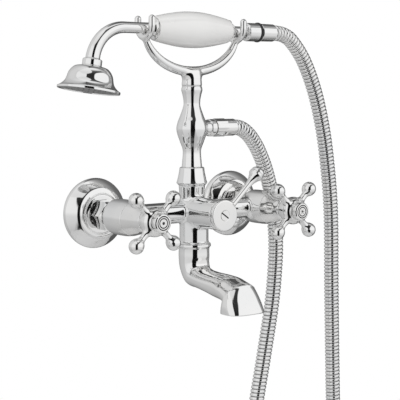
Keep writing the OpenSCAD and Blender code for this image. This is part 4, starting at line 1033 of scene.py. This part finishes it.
def gooseneck():
    sides = 64
    straight_steps = 12
    bend_steps = 48
    straight = []
    for k in range(straight_steps):
        x = FRONT_FERRULE_X + (GOOSE_X0 - FRONT_FERRULE_X) * k / straight_steps
        straight.append((x, HANDSET_Z))
    bend = [goose_point(GOOSE_TURN * k / bend_steps) for k in range(bend_steps + 1)]
    line = np.array([(x, -AXIS_H, z) for x, z in straight + bend])
    ways = np.gradient(line, axis=0)
    ways[0] = (-1, 0, 0)
    ways[-1] = (-math.cos(GOOSE_TURN), 0, -math.sin(GOOSE_TURN))
    across = np.array([0.0, 1.0, 0.0])
    grow_from = straight_steps - 2
    outer = []
    inner = []
    for k, centre in enumerate(line):
        share = max(0.0, (k - grow_from) / (len(line) - 1 - grow_from))
        radius = NECK_R + share * (GOOSE_END_R - NECK_R)
        outer.append(ring(centre, ways[k], across, radius, radius, sides))
        inner.append(ring(centre, ways[k], across, BORE_R, BORE_R, sides))
    verts, faces = skin(outer + inner[::-1])
    obj = new_object("gooseneck_swept", verts, faces, Matrix.Identity(4))
    dress(crisp(obj), "gooseneck", "chrome")


def spout_sections():
    """Sections from the joint to the mouth: out, down, tilt in degrees, half width, half depth, squareness."""
    j = SPOUT_JOINT_R
    n = SPOUT_NECK_R
    m = SPOUT_MOUTH_WIDE
    d = SPOUT_MOUTH_DEEP
    s = SPOUT_REACH
    v = SPOUT_FALL
    return [
        (0, 0, 0, j, j, 2),
        (0, 2.2, 0, j, j, 2),
        (0, 4, 0, n + 0.2, n + 0.2, 2),
        (0, 11, 3, n + 0.2, n + 0.2, 2),
        (0.8, 19, 22, n, n - 0.4, 2),
        (5.5, v - 24.5, 50, n - 0.3, n - 1.6, 2),
        (14.5, v - 22.2, 73, n - 0.5, n - 4, 2.1),
        (s - 41, v - 20.6, 82, n - 0.4, n - 4.1, 2.2),
        (s - 28, v - 19.2, 82, n + 0.3, n - 3.2, 2.3),
        (s - 17, v - 18.1, 76, m - 3.6, d - 2.5, 2.1),
        (s - 10.8, v - 16.5, 63, m - 3.2, d - 2.2, 2.05),
        (s - 5.8, v - 14.6, 48.5, m - 2.6, d - 0.9, 2.05),
        (s - 5, v - 13.2, 45, m - 2.1, d - 0.8, 2.1),
        (s - 2.4, v - 6.4, 23, m - 0.2, d - 1.3, 2.5),
        (s, v, 0, m, d, 3),
    ]


def spout():
    sides = 96
    side_wall = 3.1
    face_wall = 2.4
    b = SPOUT_BORE_R
    outer = []
    inner = []
    for out, down, tilt, wide, thick, power in curve_through(spout_sections(), 8):
        q = math.radians(tilt)
        centre = np.array([0, -SPOUT_H - out, -HUB_DROP - down])
        way = np.array([0, -math.sin(q), -math.cos(q)])
        side = np.array([0, -math.cos(q), math.sin(q)])
        outer.append(ring(centre, way, side, wide, thick, sides, power))
        if down < SPOUT_BORE_L:
            inner.append(ring(centre, way, side, b, b, sides))
        else:
            inner.append(ring(centre, way, side, max(b, wide - side_wall), thick - face_wall, sides, power))
    verts, faces = skin(outer + inner[::-1])
    obj = new_object("spout_cast", verts, faces, Matrix.Identity(4))
    dress(crisp(obj), "spout", "chrome")


gooseneck()
spout()

# Enamel in the buttons' marks: a dot for hot, a star for cold

MARK_FLOOR = BUTTON_H1 - 0.48
MARK_TOP = BUTTON_H1 - 0.1
DOT_R = 1.22
BAR_HALF_L = 2.0
BAR_HALF_W = 0.22


def numbered(shapes):
    """Faces of several shapes, counted on from one to the next."""
    faces = []
    first = 0
    for verts, own in shapes:
        faces += [tuple(first + i for i in face) for face in own]
        first += len(verts)
    return faces


def mark(name, shapes, node, x):
    verts = [v for own, _ in shapes for v in own]
    obj = new_object(name, verts, numbered(shapes), out_from_wall(x))
    obj.data.materials.append(ENAMEL)
    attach(obj, node_body(node))


def dot():
    profile = [(0, MARK_FLOOR), (DOT_R, MARK_FLOOR), (DOT_R, MARK_TOP - 0.1), (DOT_R - 0.42, MARK_TOP),
               (0, MARK_TOP + 0.04)]
    return turned(profile, 32)


def bar(angle):
    turn = Matrix.Rotation(math.radians(angle), 4, "Z")
    half = BAR_HALF_L
    w = BAR_HALF_W
    corners = [(-half, -w), (half, -w), (half, w), (-half, w)]
    verts = [tuple(turn @ Vector((cx, cy, h))) for h in (MARK_FLOOR, MARK_TOP) for cx, cy in corners]
    sides = [(i, (i + 1) % 4, 4 + (i + 1) % 4, 4 + i) for i in range(4)]
    return verts, sides + [(3, 2, 1, 0), (4, 5, 6, 7)]


mark("hot_mark", [dot()], "left_index_button", -VALVE_X)
mark("cold_mark", [bar(0), bar(60), bar(120)], "right_index_button", VALVE_X)

# Nodes that keep their shape get their finish

SHARP_EDGE = math.radians(32)
NODE_SLOTS = {row["node"]: row["material_slot"] for row in frame["record"]["subparts"]}
for name, obj in frame["nodes"].items():
    if obj.hide_render:
        continue
    obj.data.materials.clear()
    obj.data.materials.append(FINISHES[NODE_SLOTS[name]])
    shaded(obj)
    obj.data.set_sharp_from_angle(angle=SHARP_EDGE)

# Painted shade: the grooves round the buttons' faces and the slot of the lever's screw are coloured near-black
# for the shade deep in them

BUTTON_GROOVE_H = (BUTTON_H1 - 0.55, BUTTON_H1 - 0.05)
BUTTON_GROOVE_R = (3.3, 6.05)
SCREW_SLOT_H = (LEVER_H1 - 1.0, LEVER_H1 + 0.1)
SCREW_SLOT_R = (-1, 4.3)


def paint_shade_into(node, x, heights, radii):
    """Paints shade near-black on the faces between two heights and two radii round the axis that comes out of
    the wall at x.
    """
    obj = frame["nodes"][node]
    obj.data.materials.append(PAINTED_GROOVE_SHADE)
    for face in obj.data.polygons:
        centre = obj.matrix_world @ face.center / MM
        radius = math.hypot(centre.x - x, centre.z)
        if heights[0] < -centre.y < heights[1] and radii[0] < radius < radii[1]:
            face.material_index = 1


bpy.context.view_layer.update()
paint_shade_into("left_index_button", -VALVE_X, BUTTON_GROOVE_H, BUTTON_GROOVE_R)
paint_shade_into("right_index_button", VALVE_X, BUTTON_GROOVE_H, BUTTON_GROOVE_R)
paint_shade_into("diverter_screw", 0, SCREW_SLOT_H, SCREW_SLOT_R)

# Studio

FLOOR_Z = -470
FLOOR_T = 2
FLOOR_R = 500


def floor():
    top = FLOOR_Z + FLOOR_T
    verts, faces = turned([(0, FLOOR_Z), (FLOOR_R, FLOOR_Z), (FLOOR_R, top), (0, top)], 96)
    obj = new_object("floor", verts, faces, ON_RISER)
    obj.data.materials.append(finish(
        "pale_floor", colours=((0.78, 0.78, 0.78), (0.8, 0.8, 0.8)), patch=4, rough=(0.6, 0.7),
        metal=0.0, bumps=[(300, 2, 0.03, 0.0003)]))


def soft_lamp():
    data = bpy.data.lights.new("soft_lamp", "AREA")
    data.shape = "RECTANGLE"
    data.size = 1.4
    data.size_y = 1.0
    data.energy = 9
    lamp = bpy.data.objects.new("soft_lamp", data)
    scene.collection.objects.link(lamp)
    lamp.location = (-0.9, -1.2, 1.3)
    lamp.rotation_euler = (-lamp.location).to_track_quat("-Z", "Y").to_euler()
    lamp.visible_glossy = False


floor()
soft_lamp()

# Tones of the room by degrees from the photographer, to the right and upwards
WALL_TONES = [
    (-180, 0.14), (-166, 0.3), (-150, 0.56), (-118, 0.7), (-95, 0.72), (-50, 0.66), (40, 0.8), (98, 0.85),
    (118, 0.4), (138, 0.16), (180, 0.08),
]
HEIGHT_TONES = [(-90, 0.5), (-45, 0.64), (-25, 0.76), (-8, 0.82), (2, 1.0), (50, 1.0), (90, 1.2)]
SHADE_TONES = [(-90, 0.05), (-20, 0.004), (20, 0.004), (45, 0.04), (75, 0.16), (90, 0.2)]
DIFFUSE_TONE = 0.72
WHITE = 1.0
LEFT_PANEL = {"centre": (-42, 8), "half": (33, 64), "tone": 0.9}
TOP_PANEL = {"centre": (-25, 66), "half": (52, 25), "tone": 0.8}
RIGHT_PANEL = {"centre": (70, 5), "half": (45, 41), "tone": 1.0}
PANEL_POWER = 2.6
PANEL_EDGE = (0.9, 1.1)
TO_PHOTOGRAPHER = (-0.61, -0.793, 0)
TO_THE_RIGHT = (0.793, -0.61, 0)

# Soft edges of the dark gap, whose top is an arch, and of the dark strip under it, in the same degrees
GAP_LEFT = (-72, -60)
GAP_RIGHT = (95, 115)
GAP_FOOT = (-20, -10)
GAP_TOP = (66, 78)
ARCH_MIDDLE = 15
ARCH_BEND = 0.0028
STRIP_MIDDLE = 8
STRIP_SIDE = (16, 19)
STRIP_TOP = (5, 0)
STRIP_FOOT = (-58, -40)


def tone_ramp(tree, tones, source):
    low = tones[0][0]
    high = tones[-1][0]
    ramp = tree.nodes.new("ShaderNodeValToRGB")
    elements = ramp.color_ramp.elements
    while len(elements) < len(tones):
        elements.new(0.5)
    for element, (place, tone) in zip(elements, tones):
        element.position = (place - low) / (high - low)
        element.color = (tone, tone, tone, 1)
    tree.links.new(between(tree, source, low, high, 0, 1), ramp.inputs["Fac"])
    return ramp.outputs["Color"]


def math_node(tree, operation, a, b=None):
    node = tree.nodes.new("ShaderNodeMath")
    node.operation = operation
    for socket, value in zip(node.inputs, (a, b)):
        if value is None:
            continue
        if isinstance(value, (int, float)):
            socket.default_value = value
        else:
            tree.links.new(value, socket)
    return node.outputs[0]


def product(tree, a, b):
    return math_node(tree, "MULTIPLY", a, b)


def rising(tree, source, edge):
    return between(tree, source, *edge, 0, 1)


def falling(tree, source, edge):
    return between(tree, source, *edge, 1, 0)


def dot_with(tree, vector, axis):
    node = tree.nodes.new("ShaderNodeVectorMath")
    node.operation = "DOT_PRODUCT"
    tree.links.new(vector, node.inputs[0])
    node.inputs[1].default_value = axis
    return node.outputs["Value"]


def oval(tree, azimuth, elevation, panel):
    """One inside a rounded panel, nothing outside."""
    total = None
    for value, middle, reach in zip((azimuth, elevation), panel["centre"], panel["half"]):
        share = math_node(tree, "DIVIDE", math_node(tree, "SUBTRACT", value, middle), reach)
        raised = math_node(tree, "POWER", math_node(tree, "ABSOLUTE", share), PANEL_POWER)
        total = raised if total is None else math_node(tree, "ADD", total, raised)
    return falling(tree, total, PANEL_EDGE)


def dark_gap(tree, azimuth, elevation):
    """One in the dark gap where the photographer stands and in the strip under it."""
    swing = math_node(tree, "SUBTRACT", azimuth, ARCH_MIDDLE)
    arch = math_node(tree, "ADD", elevation, product(tree, product(tree, swing, swing), ARCH_BEND))
    beside = product(tree, rising(tree, azimuth, GAP_LEFT), falling(tree, azimuth, GAP_RIGHT))
    level = product(tree, rising(tree, elevation, GAP_FOOT), falling(tree, arch, GAP_TOP))
    offset = math_node(tree, "ABSOLUTE", math_node(tree, "SUBTRACT", azimuth, STRIP_MIDDLE))
    strip = product(tree, falling(tree, offset, STRIP_SIDE), rising(tree, elevation, STRIP_TOP))
    strip = product(tree, strip, rising(tree, elevation, STRIP_FOOT))
    return math_node(tree, "MAXIMUM", product(tree, beside, level), strip)


def mixed(tree, mask, a, b, blend="MIX"):
    node = tree.nodes.new("ShaderNodeMix")
    node.data_type = "RGBA"
    node.blend_type = blend
    for name, value in (("Factor", mask), ("A", a), ("B", b)):
        socket = next(q for q in node.inputs if q.name == name and q.enabled)
        if isinstance(value, (int, float)):
            socket.default_value = value if name == "Factor" else (value, value, value, 1)
        else:
            tree.links.new(value, socket)
    return next(q for q in node.outputs if q.enabled)


def background(tree, colour):
    node = tree.nodes.new("ShaderNodeBackground")
    if isinstance(colour, float):
        node.inputs["Color"].default_value = (colour, colour, colour, 1)
    else:
        tree.links.new(colour, node.inputs["Color"])
    return node.outputs[0]


def either(tree, mask, a, b):
    node = tree.nodes.new("ShaderNodeMixShader")
    for socket, value in zip(node.inputs, (mask, a, b)):
        tree.links.new(value, socket)
    return node.outputs[0]


def studio():
    """White to the eye; to the metal a pale room with three light panels and a dark gap by the photographer."""
    world = bpy.data.worlds.new("studio")
    scene.world = world
    world.use_nodes = True
    tree = world.node_tree
    tree.nodes.clear()
    way = tree.nodes.new("ShaderNodeTexCoord").outputs["Generated"]
    front = dot_with(tree, way, TO_PHOTOGRAPHER)
    right = dot_with(tree, way, TO_THE_RIGHT)
    up = dot_with(tree, way, (0, 0, 1))
    azimuth = math_node(tree, "DEGREES", math_node(tree, "ARCTAN2", right, front))
    elevation = math_node(tree, "DEGREES", math_node(tree, "ARCSINE", up))
    heights = tone_ramp(tree, HEIGHT_TONES, elevation)
    walls = mixed(tree, 1.0, tone_ramp(tree, WALL_TONES, azimuth), heights, "MULTIPLY")
    gap = dark_gap(tree, azimuth, elevation)
    room = mixed(tree, gap, walls, tone_ramp(tree, SHADE_TONES, elevation))
    for panel in (LEFT_PANEL, TOP_PANEL, RIGHT_PANEL):
        shape = oval(tree, azimuth, elevation, panel)
        room = mixed(tree, shape, room, mixed(tree, 1.0, panel["tone"], heights, "MULTIPLY"))
    path = tree.nodes.new("ShaderNodeLightPath").outputs
    mirrored = math_node(tree, "MAXIMUM", path["Is Glossy Ray"], path["Is Transmission Ray"])
    indoors = either(tree, mirrored, background(tree, DIFFUSE_TONE), background(tree, room))
    seen = either(tree, path["Is Camera Ray"], indoors, background(tree, WHITE))
    output = tree.nodes.new("ShaderNodeOutputWorld")
    tree.links.new(seen, output.inputs["Surface"])


studio()
scene.view_settings.view_transform = "Standard"
